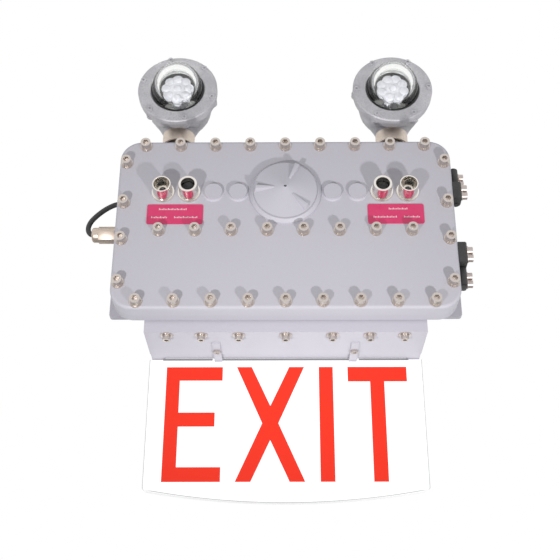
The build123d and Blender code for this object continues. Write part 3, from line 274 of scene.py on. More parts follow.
# Bare metals
boltSteel = lined(
    "boltSteel", colour(0.66, 0.60, 0.56), colour(0.40, 0.36, 0.33),
    {"Line Amount": 0.5, "Stretch": (1.0, 0.08, 1.0), "Line Scale": 2600.0,
     "Roughness": 0.24, "Roughness Spread": 0.2},
    {"Metallic": 1.0}, 0.3,
)
deviceMetal = lined(
    "deviceMetal", colour(0.83, 0.79, 0.74), colour(0.72, 0.68, 0.63),
    {"Line Amount": 0.4, "Stretch": (0.15, 1.0, 0.15), "Line Scale": 1800.0,
     "Roughness": 0.13, "Roughness Spread": 0.1},
    {"Metallic": 1.0}, 0.1,
)
pipeSteel = lined(
    "pipeSteel", colour(0.55, 0.51, 0.47), colour(0.38, 0.35, 0.32),
    {"Line Amount": 0.5, "Stretch": (1.0, 1.0, 0.1), "Line Scale": 900.0,
     "Roughness": 0.3, "Roughness Spread": 0.2},
    {"Metallic": 1.0}, 0.2,
)
collarNickel = lined(
    "collarNickel", colour(0.72, 0.63, 0.55), colour(0.60, 0.52, 0.46),
    {"Line Amount": 0.5, "Stretch": (0.12, 0.12, 1.0), "Line Scale": 1600.0,
     "Roughness": 0.42, "Roughness Spread": 0.15},
    {"Metallic": 1.0}, 0.2,
)
hingeSteel = lined(
    "hingeSteel", colour(0.56, 0.49, 0.46), colour(0.36, 0.31, 0.29),
    {"Line Amount": 0.4, "Stretch": (0.08, 1.0, 1.0), "Line Scale": 1800.0,
     "Roughness": 0.38, "Roughness Spread": 0.15},
    {"Metallic": 1.0}, 0.1,
)
glandNickel = lined(
    "glandNickel", colour(0.66, 0.56, 0.48), colour(0.45, 0.37, 0.31),
    {"Line Amount": 0.5, "Stretch": (0.1, 1.0, 1.0), "Line Scale": 1500.0,
     "Roughness": 0.34, "Roughness Spread": 0.15},
    {"Metallic": 1.0}, 0.15,
)
nutSteel = lined(
    "nutSteel", colour(0.62, 0.60, 0.57), colour(0.42, 0.40, 0.38),
    {"Line Amount": 0.5, "Stretch": (1.0, 0.1, 1.0), "Line Scale": 1500.0,
     "Roughness": 0.3, "Roughness Spread": 0.15},
    {"Metallic": 1.0}, 0.2,
)
reflectorSatin = lined(
    "reflectorSatin", colour(0.36, 0.355, 0.325), colour(0.24, 0.235, 0.21),
    {"Line Amount": 0.5, "Stretch": (1.0, 0.2, 1.0), "Line Scale": 900.0,
     "Roughness": 0.4, "Roughness Spread": 0.15},
    {"Metallic": 0.9}, 0.2,
)

# Black hinge castings, rubber, mouldings
hingeBlack = speckled(
    "hingeBlack", colour(0.022, 0.023, 0.022), colour(0.05, 0.05, 0.05),
    {"Fleck Amount": 0.5, "Fleck Scale": 900.0, "Cloud Amount": 0.3, "Cloud Scale": 50.0,
     "Roughness": 0.42, "Roughness Spread": 0.15},
    {"Metallic": 0.0, "Specular IOR Level": 0.5}, 0.4,
)
buttonRubber = speckled(
    "buttonRubber", colour(0.014, 0.014, 0.015), colour(0.03, 0.03, 0.032),
    {"Fleck Amount": 0.4, "Fleck Scale": 2200.0, "Cloud Amount": 0.2, "Cloud Scale": 200.0,
     "Roughness": 0.5, "Roughness Spread": 0.15},
    {"Metallic": 0.0}, 0.3,
)
cableSheath = speckled(
    "cableSheath", colour(0.030, 0.030, 0.032), colour(0.055, 0.055, 0.058),
    {"Fleck Amount": 0.4, "Fleck Scale": 1500.0, "Cloud Amount": 0.3, "Cloud Scale": 90.0,
     "Roughness": 0.42, "Roughness Spread": 0.15},
    {"Metallic": 0.0}, 0.3,
)
labelFilm = speckled(
    "labelFilm", colour(0.66, 0.026, 0.135), colour(0.54, 0.018, 0.10),
    {"Fleck Amount": 0.15, "Fleck Scale": 900.0, "Cloud Amount": 0.25, "Cloud Scale": 60.0,
     "Roughness": 0.28, "Roughness Spread": 0.1},
    {"Metallic": 0.0, "Coat Weight": 0.3, "Coat Roughness": 0.15}, 0.05,
)
labelInk = speckled(
    "labelInk", colour(0.82, 0.78, 0.80), colour(0.72, 0.66, 0.69),
    {"Fleck Amount": 0.4, "Fleck Scale": 2500.0, "Cloud Amount": 0.1, "Cloud Scale": 200.0,
     "Roughness": 0.4, "Roughness Spread": 0.1},
    {"Metallic": 0.0}, 0.05,
)
signOpal = speckled(
    "signOpal", colour(0.96, 0.96, 0.96), colour(0.92, 0.92, 0.93),
    {"Fleck Amount": 0.2, "Fleck Scale": 500.0, "Cloud Amount": 0.15, "Cloud Scale": 6.0,
     "Roughness": 0.22, "Roughness Spread": 0.06},
    {"Metallic": 0.0, "Emission Color": colour(1.0, 1.0, 1.0), "Emission Strength": 0.22}, 0.02,
)
edgeAcrylic = speckled(
    "edgeAcrylic", colour(0.62, 0.63, 0.63), colour(0.52, 0.53, 0.53),
    {"Fleck Amount": 0.3, "Fleck Scale": 300.0, "Cloud Amount": 0.3, "Cloud Scale": 20.0,
     "Roughness": 0.2, "Roughness Spread": 0.1},
    {"Metallic": 0.0}, 0.02,
)
letterFilm = speckled(
    "letterFilm", colour(0.94, 0.034, 0.012), colour(0.86, 0.028, 0.010),
    {"Fleck Amount": 0.15, "Fleck Scale": 900.0, "Cloud Amount": 0.1, "Cloud Scale": 10.0,
     "Roughness": 0.5, "Roughness Spread": 0.08},
    {"Metallic": 0.0, "Specular IOR Level": 0.3}, 0.02,
)
# Dark grey for the strip under the sign box: painted shade of the gap in front of the panel
gapShadeGrey = speckled(
    "gapShadeGrey", colour(0.26, 0.26, 0.275), colour(0.20, 0.20, 0.21),
    {"Fleck Amount": 0.4, "Fleck Scale": 1500.0, "Cloud Amount": 0.3, "Cloud Scale": 60.0,
     "Roughness": 0.55, "Roughness Spread": 0.1},
    {"Metallic": 0.0}, 0.2,
)
boardWhite = speckled(
    "boardWhite", colour(0.78, 0.78, 0.77), colour(0.62, 0.62, 0.60),
    {"Fleck Amount": 0.4, "Fleck Scale": 1500.0, "Cloud Amount": 0.2, "Cloud Scale": 60.0,
     "Roughness": 0.45, "Roughness Spread": 0.1},
    {"Metallic": 0.0}, 0.1,
)
batterySleeve = speckled(
    "batterySleeve", colour(0.02, 0.10, 0.26), colour(0.015, 0.07, 0.19),
    {"Fleck Amount": 0.3, "Fleck Scale": 600.0, "Cloud Amount": 0.3, "Cloud Scale": 25.0,
     "Roughness": 0.32, "Roughness Spread": 0.1},
    {"Metallic": 0.0}, 0.1,
)
driverGreen = speckled(
    "driverGreen", colour(0.012, 0.13, 0.05), colour(0.008, 0.09, 0.035),
    {"Fleck Amount": 0.4, "Fleck Scale": 400.0, "Cloud Amount": 0.3, "Cloud Scale": 80.0,
     "Roughness": 0.35, "Roughness Spread": 0.1},
    {"Metallic": 0.0}, 0.1,
)
terminalGrey = speckled(
    "terminalGrey", colour(0.40, 0.41, 0.40), colour(0.33, 0.34, 0.33),
    {"Fleck Amount": 0.3, "Fleck Scale": 900.0, "Cloud Amount": 0.2, "Cloud Scale": 60.0,
     "Roughness": 0.45, "Roughness Spread": 0.1},
    {"Metallic": 0.0}, 0.1,
)


# A second shader for one kind of ray, such as shadow rays through glass, or for all but that kind
def mixForRay(mat, rayKind, otherKind, otherColour, forThatRay=True):
    tree = mat.node_tree
    shader = tree.nodes["Principled BSDF"]
    output = tree.nodes["Material Output"]
    rays = addNode(tree, "ShaderNodeLightPath")
    other = addNode(tree, otherKind)
    other.inputs["Color"].default_value = otherColour
    mix = addNode(tree, "ShaderNodeMixShader")
    tree.links.new(rays.outputs[rayKind], mix.inputs[0])
    tree.links.new(shader.outputs["BSDF"], mix.inputs[1 if forThatRay else 2])
    tree.links.new(other.outputs["BSDF"], mix.inputs[2 if forThatRay else 1])
    tree.links.new(mix.outputs["Shader"], output.inputs["Surface"])


# Clear pieces: the group varies the tint and the polish, transmission stays plain
def clearMaterial(name, base, fleck, values, ior, bump):
    mat = speckled(
        name, base, fleck, values,
        {"Metallic": 0.0, "Transmission Weight": 1.0, "IOR": ior}, bump,
    )
    mixForRay(mat, "Is Shadow Ray", "ShaderNodeBsdfTransparent", colour(0.86, 0.87, 0.86))
    return mat


# The letters are red to the viewer but throw no red light on the box above them
mixForRay(letterFilm, "Is Camera Ray", "ShaderNodeBsdfDiffuse", colour(0.80, 0.80, 0.80), forThatRay=False)


domeGlass = clearMaterial(
    "domeGlass", colour(0.97, 0.98, 0.965), colour(0.94, 0.955, 0.93),
    {"Fleck Amount": 0.2, "Fleck Scale": 60.0, "Cloud Amount": 0.2, "Cloud Scale": 20.0,
     "Roughness": 0.0, "Roughness Spread": 0.03},
    1.47, 0.02,
)
petalClear = speckled(
    "petalClear", colour(0.70, 0.69, 0.755), colour(0.54, 0.535, 0.60),
    {"Fleck Amount": 0.5, "Fleck Scale": 260.0, "Cloud Amount": 0.3, "Cloud Scale": 90.0,
     "Roughness": 0.16, "Roughness Spread": 0.1},
    {"Metallic": 0.0, "Transmission Weight": 0.12, "IOR": 1.49}, 0.2,
)
signalClear = speckled(
    "signalClear", colour(0.12, 0.13, 0.13), colour(0.05, 0.06, 0.06),
    {"Fleck Amount": 0.4, "Fleck Scale": 900.0, "Cloud Amount": 0.3, "Cloud Scale": 300.0,
     "Roughness": 0.08, "Roughness Spread": 0.1},
    {"Metallic": 0.0, "Transmission Weight": 0.3}, 0.1,
)
print("materials made:", len(bpy.data.materials))

# Which finish each piece of the frame wears
finishOf = {
    "front_cover": coverPaint,
    "inspection_cap": coverPaint,
    "housing": housingPaint,
    "sign_box": boxPaint,
    "sign_box_plate": boxPaint,
    "mounting_plate": platePaint,
    "cover_bolts": boltSteel,
    "sign_screws": boltSteel,
    "panel_clips": boxPaint,
    "clip_screws": boltSteel,
    "sign_box_screws": nutSteel,
    "plate_screws": nutSteel,
    "device_nuts": nutSteel,
    "hinge_pins": hingeBlack,
    "hinge_bolts": hingeSteel,
    "jumper_cable": cableSheath,
    "sign_panel": signOpal,
    "sign_light_bar": boardWhite,
    "battery_pack": batterySleeve,
    "driver_board": driverGreen,
    "terminal_block": terminalGrey,
}
for hand in ("left", "right"):
    finishOf[f"indicator_{hand}_body"] = deviceMetal
    finishOf[f"indicator_{hand}_lens"] = signalClear
    finishOf[f"button_{hand}_guard"] = deviceMetal
    finishOf[f"button_{hand}"] = buttonRubber
    finishOf[f"label_{hand}"] = labelFilm
    finishOf[f"nipple_{hand}"] = pipeSteel
    finishOf[f"collar_{hand}"] = collarNickel
    finishOf[f"head_{hand}_shell"] = headCasting
    finishOf[f"head_{hand}_ring"] = headCasting
    finishOf[f"head_{hand}_glass"] = domeGlass
    finishOf[f"head_{hand}_reflector"] = reflectorSatin
    finishOf[f"head_{hand}_board"] = boardWhite
    finishOf[f"head_{hand}_lens"] = petalClear
    finishOf[f"head_{hand}_screws"] = headCasting
for level in ("upper", "lower"):
    finishOf[f"hinge_{level}_cover_leaf"] = hingeBlack
    finishOf[f"hinge_{level}_housing_leaf"] = hingeBlack
    finishOf[f"gland_{level}_body"] = glandNickel
    finishOf[f"gland_{level}_nut"] = glandNickel
for name, piece in nodes.items():
    for slot in piece.material_slots:
        slot.material = finishOf[name]
print("frame pieces dressed:", len(finishOf))


# New pieces start from a bmesh and end riding on a body
def addPiece(name, mesh, mat, body):
    piece = bpy.data.objects.new(name, mesh)
    bpy.context.scene.collection.objects.link(piece)
    mesh.materials.append(mat)
    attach(piece, body)
    return piece


def meshFrom(name, bm, smooth=False):
    bmesh.ops.recalc_face_normals(bm, faces=bm.faces)
    mesh = bpy.data.meshes.new(name)
    bm.to_mesh(mesh)
    bm.free()
    for face in mesh.polygons:
        face.use_smooth = smooth
    return mesh


# A flat shape in X and Z, standing proud of a face that looks along -Y
def addPlate(bm, outline, faceY, thickness):
    lower = [bm.verts.new((x * mm, faceY * mm, z * mm)) for x, z in outline]
    upper = [bm.verts.new((x * mm, (faceY - thickness) * mm, z * mm)) for x, z in outline]
    bm.faces.new(lower)
    bm.faces.new(list(reversed(upper)))
    count = len(outline)
    for i in range(count):
        j = (i + 1) % count
        bm.faces.new((lower[j], lower[i], upper[i], upper[j]))


# A closed outline turned about a line along X, Y or Z: pairs of distance from the line and place along it
def addTurned(bm, outline, centre, along, steps=72):
    rings = []
    for i in range(steps):
        angle = 2 * math.pi * i / steps
        c, s = math.cos(angle), math.sin(angle)
        if along == "Y":
            ring = [(centre[0] + r * c, a, centre[2] + r * s) for r, a in outline]
        elif along == "Z":
            ring = [(centre[0] + r * c, centre[1] + r * s, a) for r, a in outline]
        else:
            ring = [(a, centre[1] + r * c, centre[2] + r * s) for r, a in outline]
        rings.append([bm.verts.new(Vector(place) * mm) for place in ring])
    count = len(outline)
    for i, ring in enumerate(rings):
        after = rings[(i + 1) % steps]
        for k in range(count):
            j = (k + 1) % count
            if outline[k][0] > 0 or outline[j][0] > 0:
                bm.faces.new((ring[k], ring[j], after[j], after[k]))
    bmesh.ops.remove_doubles(bm, verts=bm.verts, dist=1e-7)


def arcPoints(middle, radius, start, end, steps):
    points = []
    for i in range(steps + 1):
        angle = math.radians(start + (end - start) * i / steps)
        points.append((middle[0] + radius * math.cos(angle), middle[1] + radius * math.sin(angle)))
    return points


# A straight bar from an outline: corners are given by a function of the outline's two numbers and the place
def addBar(bm, outline, start, end, toPlace):
    first = [bm.verts.new(Vector(toPlace(a, b, start)) * mm) for a, b in outline]
    last = [bm.verts.new(Vector(toPlace(a, b, end)) * mm) for a, b in outline]
    bm.faces.new(first)
    bm.faces.new(list(reversed(last)))
    count = len(outline)
    for i in range(count):
        j = (i + 1) % count
        bm.faces.new((last[i], last[j], first[j], first[i]))


# Rows of corners joined to one closed bar
def joinRows(bm, rows):
    count = len(rows[0])
    for a, b in zip(rows, rows[1:]):
        for k in range(count):
            j = (k + 1) % count
            bm.faces.new((a[k], a[j], b[j], b[k]))
    bm.faces.new(list(reversed(rows[0])))
    bm.faces.new(rows[-1])


# Rounds the edges that came after the known ones
def roundNew(bm, known, offset):
    edges = [edge for edge in bm.edges if edge not in known]
    bmesh.ops.bevel(bm, geom=edges, offset=offset * mm, segments=2, affect="EDGES", profile=0.5)


sharpAngle = 32


def turnedMesh(name, bm):
    mesh = meshFrom(name, bm, smooth=True)
    mesh.set_sharp_from_angle(angle=math.radians(sharpAngle))
    return mesh


# Lamp heads: thick moulded dome on a black ring that paints the shaded gap round it, petal lens, wide clamping ring
# and flared neck (millimetres)
lampHead = {
    "x": 150.5,
    "axisY": -76.0,
    "z": 229.5,
    "flangeBack": -112.0,
    "flangeFront": -117.0,
    "flangeRadius": 42.0,
    "domeStart": -125.0,
    "domeRadius": 35.0,
    "wall": 9.4,
    "shadeRingThickness": 4.4,
    "openingRadius": 37.3,
    "ringRadius": 55.5,
    "ringFront": -122.0,
    "ringEdge": 1.4,
    "lensFront": -123.5,
    "lensBack": -117.6,
    "lensStemRadius": 15.0,
    "lensStemBack": -100.1,
    "lensSteps": 120,
    "petals": 8,
    "petalTurn": {"left": 0.0, "right": 25.0},
    "petalCircle": 15.4,
    "petalRadius": 8.0,
    "cellRadius": 5.6,
    "cellHeight": 1.1,
    "cellSunk": 0.2,
    "screws": 6,
    "screwTurn": {"left": -16.5, "right": 2.3},
    "screwCircle": 50.5,
    "socketRadius": 1.7,
    "socketProud": 0.6,
    "neckBottom": 180.8,
    "neckTop": 208.0,
    "neckRadius": 22.2,
    "flareHalfWidth": 40.0,
    "flareCurve": 1.35,
}


def addDome(bm, x):
    h = lampHead
    inner = h["domeRadius"] - h["wall"]
    outline = arcPoints((0, h["domeStart"]), h["domeRadius"], -90, 0, 24)
    outline[0] = (0.0, h["domeStart"] - h["domeRadius"])
    outline += [
        (h["domeRadius"], h["flangeFront"]),
        (h["flangeRadius"], h["flangeFront"]),
        (h["flangeRadius"], h["flangeBack"]),
        (inner, h["flangeBack"]),
    ]
    inside = arcPoints((0, h["domeStart"]), inner, 0, -90, 20)
    inside[-1] = (0.0, h["domeStart"] - inner)
    addTurned(bm, outline + inside, (x, 0, h["z"]), "Y", 96)


def addRing(bm, x):
    h = lampHead
    edge = h["ringEdge"]
    outline = [
        (h["openingRadius"], h["flangeFront"]),
        (h["ringRadius"] - edge, h["flangeFront"]),
        (h["ringRadius"] - edge, h["flangeBack"]),
        (h["ringRadius"], h["flangeBack"]),
        (h["ringRadius"], h["ringFront"] + edge),
        (h["ringRadius"] - edge, h["ringFront"]),
        (h["openingRadius"] + edge, h["ringFront"]),
        (h["openingRadius"], h["ringFront"] + edge),
    ]
    addTurned(bm, outline, (x, 0, h["z"]), "Y", 128)


def onCircle(radius, angle):
    return radius * math.cos(math.radians(angle)), radius * math.sin(math.radians(angle))


def addPetalLens(bm, x, turn):
    h = lampHead
    share = 360 / h["petals"]
    outline = []
    for i in range(h["lensSteps"]):
        angle = 360 * i / h["lensSteps"]
        away = (angle + share / 2) % share - share / 2
        forward, sideways = onCircle(h["petalCircle"], away)
        outline.append(onCircle(forward + math.sqrt(h["petalRadius"] ** 2 - sideways ** 2), turn + angle))
    addBar(bm, outline, h["lensFront"], h["lensBack"], lambda a, b, place: (x + a, place, h["z"] + b))
    cells = [(0.0, 0.0)] + [onCircle(h["petalCircle"], turn + share * i) for i in range(h["petals"])]
    sunk = h["lensFront"] + h["cellSunk"]
    crown = arcPoints((0, 0), 1.0, 0, 90, 6)[:-1]
    cell = [(0, sunk), (h["cellRadius"], sunk)]
    cell += [(h["cellRadius"] * r, h["lensFront"] - h["cellHeight"] * s) for r, s in crown]
    cell.append((0, h["lensFront"] - h["cellHeight"]))
    for a, b in cells:
        addTurned(bm, cell, (x + a, 0, h["z"] + b), "Y", 32)
    stem = [
        (0, h["lensStemBack"]),
        (h["lensStemRadius"], h["lensStemBack"]),
        (h["lensStemRadius"], h["lensBack"]),
        (0, h["lensBack"]),
    ]
    addTurned(bm, stem, (x, 0, h["z"]), "Y", 48)


# Black discs on the ring screws: painted shade standing in for the dark hex sockets
def addSocketShadeDiscs(bm, x, turn):
    h = lampHead
    front = h["ringFront"] - h["socketProud"]
    outline = [(0, front), (h["socketRadius"], front), (h["socketRadius"], h["ringFront"]), (0, h["ringFront"])]
    for i in range(h["screws"]):
        a, b = onCircle(h["screwCircle"], turn + 360 * i / h["screws"])
        addTurned(bm, outline, (x + a, 0, h["z"] + b), "Y", 20)


# Black ring round the dome in the ring opening: painted shade, standing in for the dark gap between dome and ring
def addDomeShadeRing(bm, x):
    h = lampHead
    front = h["flangeFront"] - h["shadeRingThickness"]
    outline = [
        (h["domeRadius"], h["flangeFront"]),
        (h["openingRadius"], h["flangeFront"]),
        (h["openingRadius"], front),
        (h["domeRadius"], front),
    ]
    addTurned(bm, outline, (x, 0, h["z"]), "Y", 96)


# The neck is round at the collar and widens sideways up to the bowl
def addNeck(bm, x):
    h = lampHead
    levels, steps = 10, 64
    rings = []
    for i in range(levels + 1):
        share = i / levels
        wide = h["neckRadius"] + (h["flareHalfWidth"] - h["neckRadius"]) * share ** h["flareCurve"]
        z = h["neckBottom"] + (h["neckTop"] - h["neckBottom"]) * share
        ring = []
        for k in range(steps):
            angle = 2 * math.pi * k / steps
            place = (x + wide * math.cos(angle), h["axisY"] + h["neckRadius"] * math.sin(angle), z)
            ring.append(bm.verts.new(Vector(place) * mm))
        rings.append(ring)
    joinRows(bm, rings)


def makeHeadPiece(name, hand, build, mat, stoodFor=None, turn=None):
    bm = bmesh.new()
    x = lampHead["x"] * (-1 if hand == "left" else 1)
    if turn is None:
        build(bm, x)
    else:
        build(bm, x, turn[hand])
    label = f"{name}_{hand}"
    piece = addPiece(label, turnedMesh(label, bm), mat, f"head_{hand}")
    if stoodFor:
        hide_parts(f"head_{hand}_{stoodFor}")


for hand in ("left", "right"):
    h = lampHead
    makeHeadPiece("lampRing", hand, addRing, headCasting, "ring")
    # The black discs on the ring screws are painted shade of their sockets
    makeHeadPiece("ringSocketShade", hand, addSocketShadeDiscs, hingeBlack, turn=h["screwTurn"])
    makeHeadPiece("petalLens", hand, addPetalLens, petalClear, "lens", h["petalTurn"])
    # The black ring round the dome is painted shade of the gap between dome and ring
    makeHeadPiece("domeShadeRing", hand, addDomeShadeRing, buttonRubber)
    makeHeadPiece("lampDome", hand, addDome, domeGlass, "glass")
    makeHeadPiece("lampNeck", hand, addNeck, headCasting)
print("lamp domes and necks made")

# Cable glands: hexagon body, barrel, and a clamping nut with a rounded nose and a mouth (millimetres)
gland = {
    "y": -73.0,
    "start": -190.0,
    "bodyHexEnd": -202.0,
    "thread": 8.0,
    "threadEnd": -181.0,
    "acrossFlats": 20.4,
    "barrel": 8.6,
    "nose": 3.5,
    "mouth": 5.4,
    "edge": 0.5,
}
glandEnds = {
    "lower": {"z": 22.0, "nutStart": -229.0, "hexEnd": -252.0, "end": -261.0, "mouthDepth": 6.0},
    "upper": {"z": 71.5, "nutStart": -210.0, "hexEnd": -217.0, "end": -222.0, "mouthDepth": 3.0},
}


def addHexBar(bm, z, start, end):
    corner = gland["acrossFlats"] / math.sqrt(3)
    outline = [onCircle(corner, 60 * i) for i in range(6)]
    known = set(bm.edges)
    addBar(bm, outline, start, end, lambda a, b, place: (place, gland["y"] + a, z + b))
    roundNew(bm, known, gland["edge"])


for level, fitting in glandEnds.items():
    g = gland
    half = g["acrossFlats"] / 2
    centre = (0, g["y"], fitting["z"])
    bm = bmesh.new()
    addHexBar(bm, fitting["z"], g["start"], max(g["bodyHexEnd"], fitting["nutStart"]))
    addHexBar(bm, fitting["z"], fitting["nutStart"], fitting["hexEnd"])
    addTurned(bm, [(0, g["threadEnd"]), (g["thread"], g["threadEnd"]), (g["thread"], g["start"]),
                   (g["barrel"], g["start"]), (g["barrel"], fitting["nutStart"]), (0, fitting["nutStart"])],
              centre, "X", 48)
    nose = arcPoints((half - g["nose"], fitting["end"] + g["nose"]), g["nose"], 0, -90, 8)
    floor = fitting["end"] + fitting["mouthDepth"]
    addTurned(bm, [(0, fitting["hexEnd"]), (half, fitting["hexEnd"])] + nose
              + [(g["mouth"], fitting["end"]), (g["mouth"], floor), (0, floor)], centre, "X", 48)
    piece = addPiece(f"gland_{level}", turnedMesh(f"gland_{level}", bm), glandNickel, "root")
    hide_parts(f"gland_{level}_body", f"gland_{level}_nut")
print("glands made")

# Inspection cap: cone face over a dark seal groove, with three grip ribs that widen outwards (millimetres)
cap = {
    "z": 41.5,
    "faceY": -148.0,
    "plug": 36.7,
    "plugEnd": -132.0,
    "base": 46.0,
    "baseEdge": 3.0,
    "seatRadius": 42.4,
    "seatHeight": 7.0,
    "seal": 39.2,
    "underHeight": 8.0,
    "rim": 40.8,
    "rimHeight": 9.2,
    "peakHeight": 19.0,
    "pin": 2.0,
    "pinDepth": 5.0,
    "ribStart": 12.5,
    "ribEnd": 39.8,
    "ribHeight": 16.7,
    "ribFoot": (2.6, 4.5),
    "ribCrest": (1.3, 3.1),
    "ribDraft": 1.5,
    "ribEdge": 0.6,
    "sealInside": 0.5,
    "sealOutside": 1.0,
    "sealOverlap": 0.2,
    "angles": (180.0, 66.0, -46.0),
}


def addRib(bm, angle):
    footY = cap["faceY"] - cap["underHeight"]
    crestY = cap["faceY"] - cap["ribHeight"]
    start, end, lean = cap["ribStart"], cap["ribEnd"], cap["ribDraft"]
    narrow, broad = cap["ribFoot"]
    foot = [(start, -narrow), (end, -broad), (end, broad), (start, narrow)]
    narrow, broad = cap["ribCrest"]
    crest = [(start + lean, -narrow), (end - lean, -broad), (end - lean, broad), (start + lean, narrow)]
    c, s = math.cos(math.radians(angle)), math.sin(math.radians(angle))
    known = set(bm.edges)
    lower = [bm.verts.new(Vector((a * c - b * s, footY, cap["z"] + a * s + b * c)) * mm) for a, b in foot]
    upper = [bm.verts.new(Vector((a * c - b * s, crestY, cap["z"] + a * s + b * c)) * mm) for a, b in crest]
    bm.faces.new(lower)
    bm.faces.new(list(reversed(upper)))
    for i in range(4):
        j = (i + 1) % 4
        bm.faces.new((upper[i], upper[j], lower[j], lower[i]))
    roundNew(bm, known, cap["ribEdge"])


def makeCap():
    face = cap["faceY"]
    outline = [
        (0, cap["plugEnd"]),
        (cap["plug"], cap["plugEnd"]),
        (cap["plug"], face),
        (cap["base"], face),
        (cap["base"], face - cap["baseEdge"]),
        (cap["seatRadius"], face - cap["seatHeight"]),
        (cap["seal"], face - cap["seatHeight"]),
        (cap["seal"], face - cap["underHeight"]),
        (cap["rim"], face - cap["underHeight"]),
        (cap["rim"], face - cap["rimHeight"]),
        (cap["pin"], face - cap["peakHeight"]),
        (cap["pin"], face - cap["peakHeight"] + cap["pinDepth"]),
        (0, face - cap["peakHeight"] + cap["pinDepth"]),
    ]
    bm = bmesh.new()
    addTurned(bm, outline, (0, 0, cap["z"]), "Y", 128)
    for angle in cap["angles"]:
        addRib(bm, angle)
    piece = addPiece("inspectionCap", turnedMesh("inspectionCap", bm), coverPaint, "root")
    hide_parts("inspection_cap")
    bm = bmesh.new()
    inside, outside = cap["seal"] - cap["sealInside"], cap["seal"] + cap["sealOutside"]
    back = face - cap["seatHeight"] + cap["sealOverlap"]
    front = face - cap["underHeight"] - cap["sealOverlap"]
    outline = [(inside, back), (outside, back), (outside, front), (inside, front)]
    addTurned(bm, outline, (0, 0, cap["z"]), "Y", 128)
    addPiece("capSeal", turnedMesh("capSeal", bm), buttonRubber, "root")


makeCap()
print("inspection cap made")

# Panel clips with a short lip, a grey strip in front of the panel that paints the shaded gap under the sign box,
# and the sign screws' washers (millimetres)
panelTrim = {
    "clipX": 89.0,
    "clipHalf": 5.0,
    "under": -138.0,
    "front": -78.5,
    "back": -20.1,
    "thickness": 2.0,
    "lip": 3.2,
    "shadeStripFront": -21.4,
    "shadeStripBack": -20.05,
    "shadeStripTop": -137.2,
    "shadeStripBottom": -139.2,
    "shadeStripRuns": ((-162.5, -97.0), (-83.5, 83.5), (97.0, 162.5)),
    "washerRadius": 8.2,
    "washerHole": 3.0,
    "washerThickness": 1.1,
    "screwX": (-149.5, -106.0, -59.0, 0.0, 59.0, 106.0, 149.5),
    "screwY": -101.5,
}


def alongX(a, b, place):
    return (place, a, b)


def makePanelTrim():
    t = panelTrim
    bm = bmesh.new()
    outline = [
        (t["front"], t["under"]),
        (t["back"], t["under"]),
        (t["back"], t["under"] - t["lip"]),
        (t["back"] - t["thickness"], t["under"] - t["lip"]),
        (t["back"] - t["thickness"], t["under"] - t["thickness"]),
        (t["front"], t["under"] - t["thickness"]),
    ]
    for outward in (-1, 1):
        middle = outward * t["clipX"]
        addBar(bm, outline, middle - t["clipHalf"], middle + t["clipHalf"], alongX)
    piece = addPiece("panelClips", meshFrom("panelClips", bm), boxPaint, "root")
    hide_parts("panel_clips")
    # Grey strip in front of the panel under the box: painted shade of the gap there
    strip = [(t["shadeStripFront"], t["shadeStripTop"]), (t["shadeStripBack"], t["shadeStripTop"]),
             (t["shadeStripBack"], t["shadeStripBottom"]), (t["shadeStripFront"], t["shadeStripBottom"])]
    bm = bmesh.new()
    for start, end in t["shadeStripRuns"]:
        addBar(bm, strip, start, end, alongX)
    addPiece("panelGapShadeStrip", meshFrom("panelGapShadeStrip", bm), gapShadeGrey, "root")
    bm = bmesh.new()
    low = t["under"] - t["washerThickness"]
    hole, rim = t["washerHole"], t["washerRadius"]
    ring = [(hole, t["under"]), (rim, t["under"]), (rim, low), (hole, low)]
    for x in t["screwX"]:
        addTurned(bm, ring, (x, t["screwY"], 0), "Z", 40)
    addPiece("signWashers", turnedMesh("signWashers", bm), boltSteel, "root")


makePanelTrim()
print("panel trim made")

# Hinges: cover leaf and housing leaf side by side round one pin (millimetres)
hinge = {
    "edgeX": 217.5,
    "outerX": 229.0,
    "faceY": -146.0,
    "jointY": -128.0,
    "backY": -113.0,
    "cutCorner": 2.0,
    "pinRadius": 2.5,
    "pinHead": 3.6,
    "pinReach": 1.2,
    "pinOverlap": 0.2,
    "round": 0.7,
    "cover_leaf": {"upper": (35.4, 60.0), "lower": (-58.0, -29.5)},
    "housing_leaf": {"upper": (60.5, 88.4), "lower": (-83.2, -58.5)},
}


def leafOutline(endY, barrelStart):
    h = hinge
    lean = h["cutCorner"] if endY < h["jointY"] else -h["cutCorner"]
    barrel = (h["outerX"] - h["edgeX"]) / 2
    outline = [
        (h["edgeX"], endY),
        (h["outerX"] - h["cutCorner"], endY),
        (h["outerX"], endY + lean),
    ]
    arc = arcPoints((h["outerX"] - barrel, h["jointY"]), barrel, 0, barrelStart, 16)
    return outline + arc


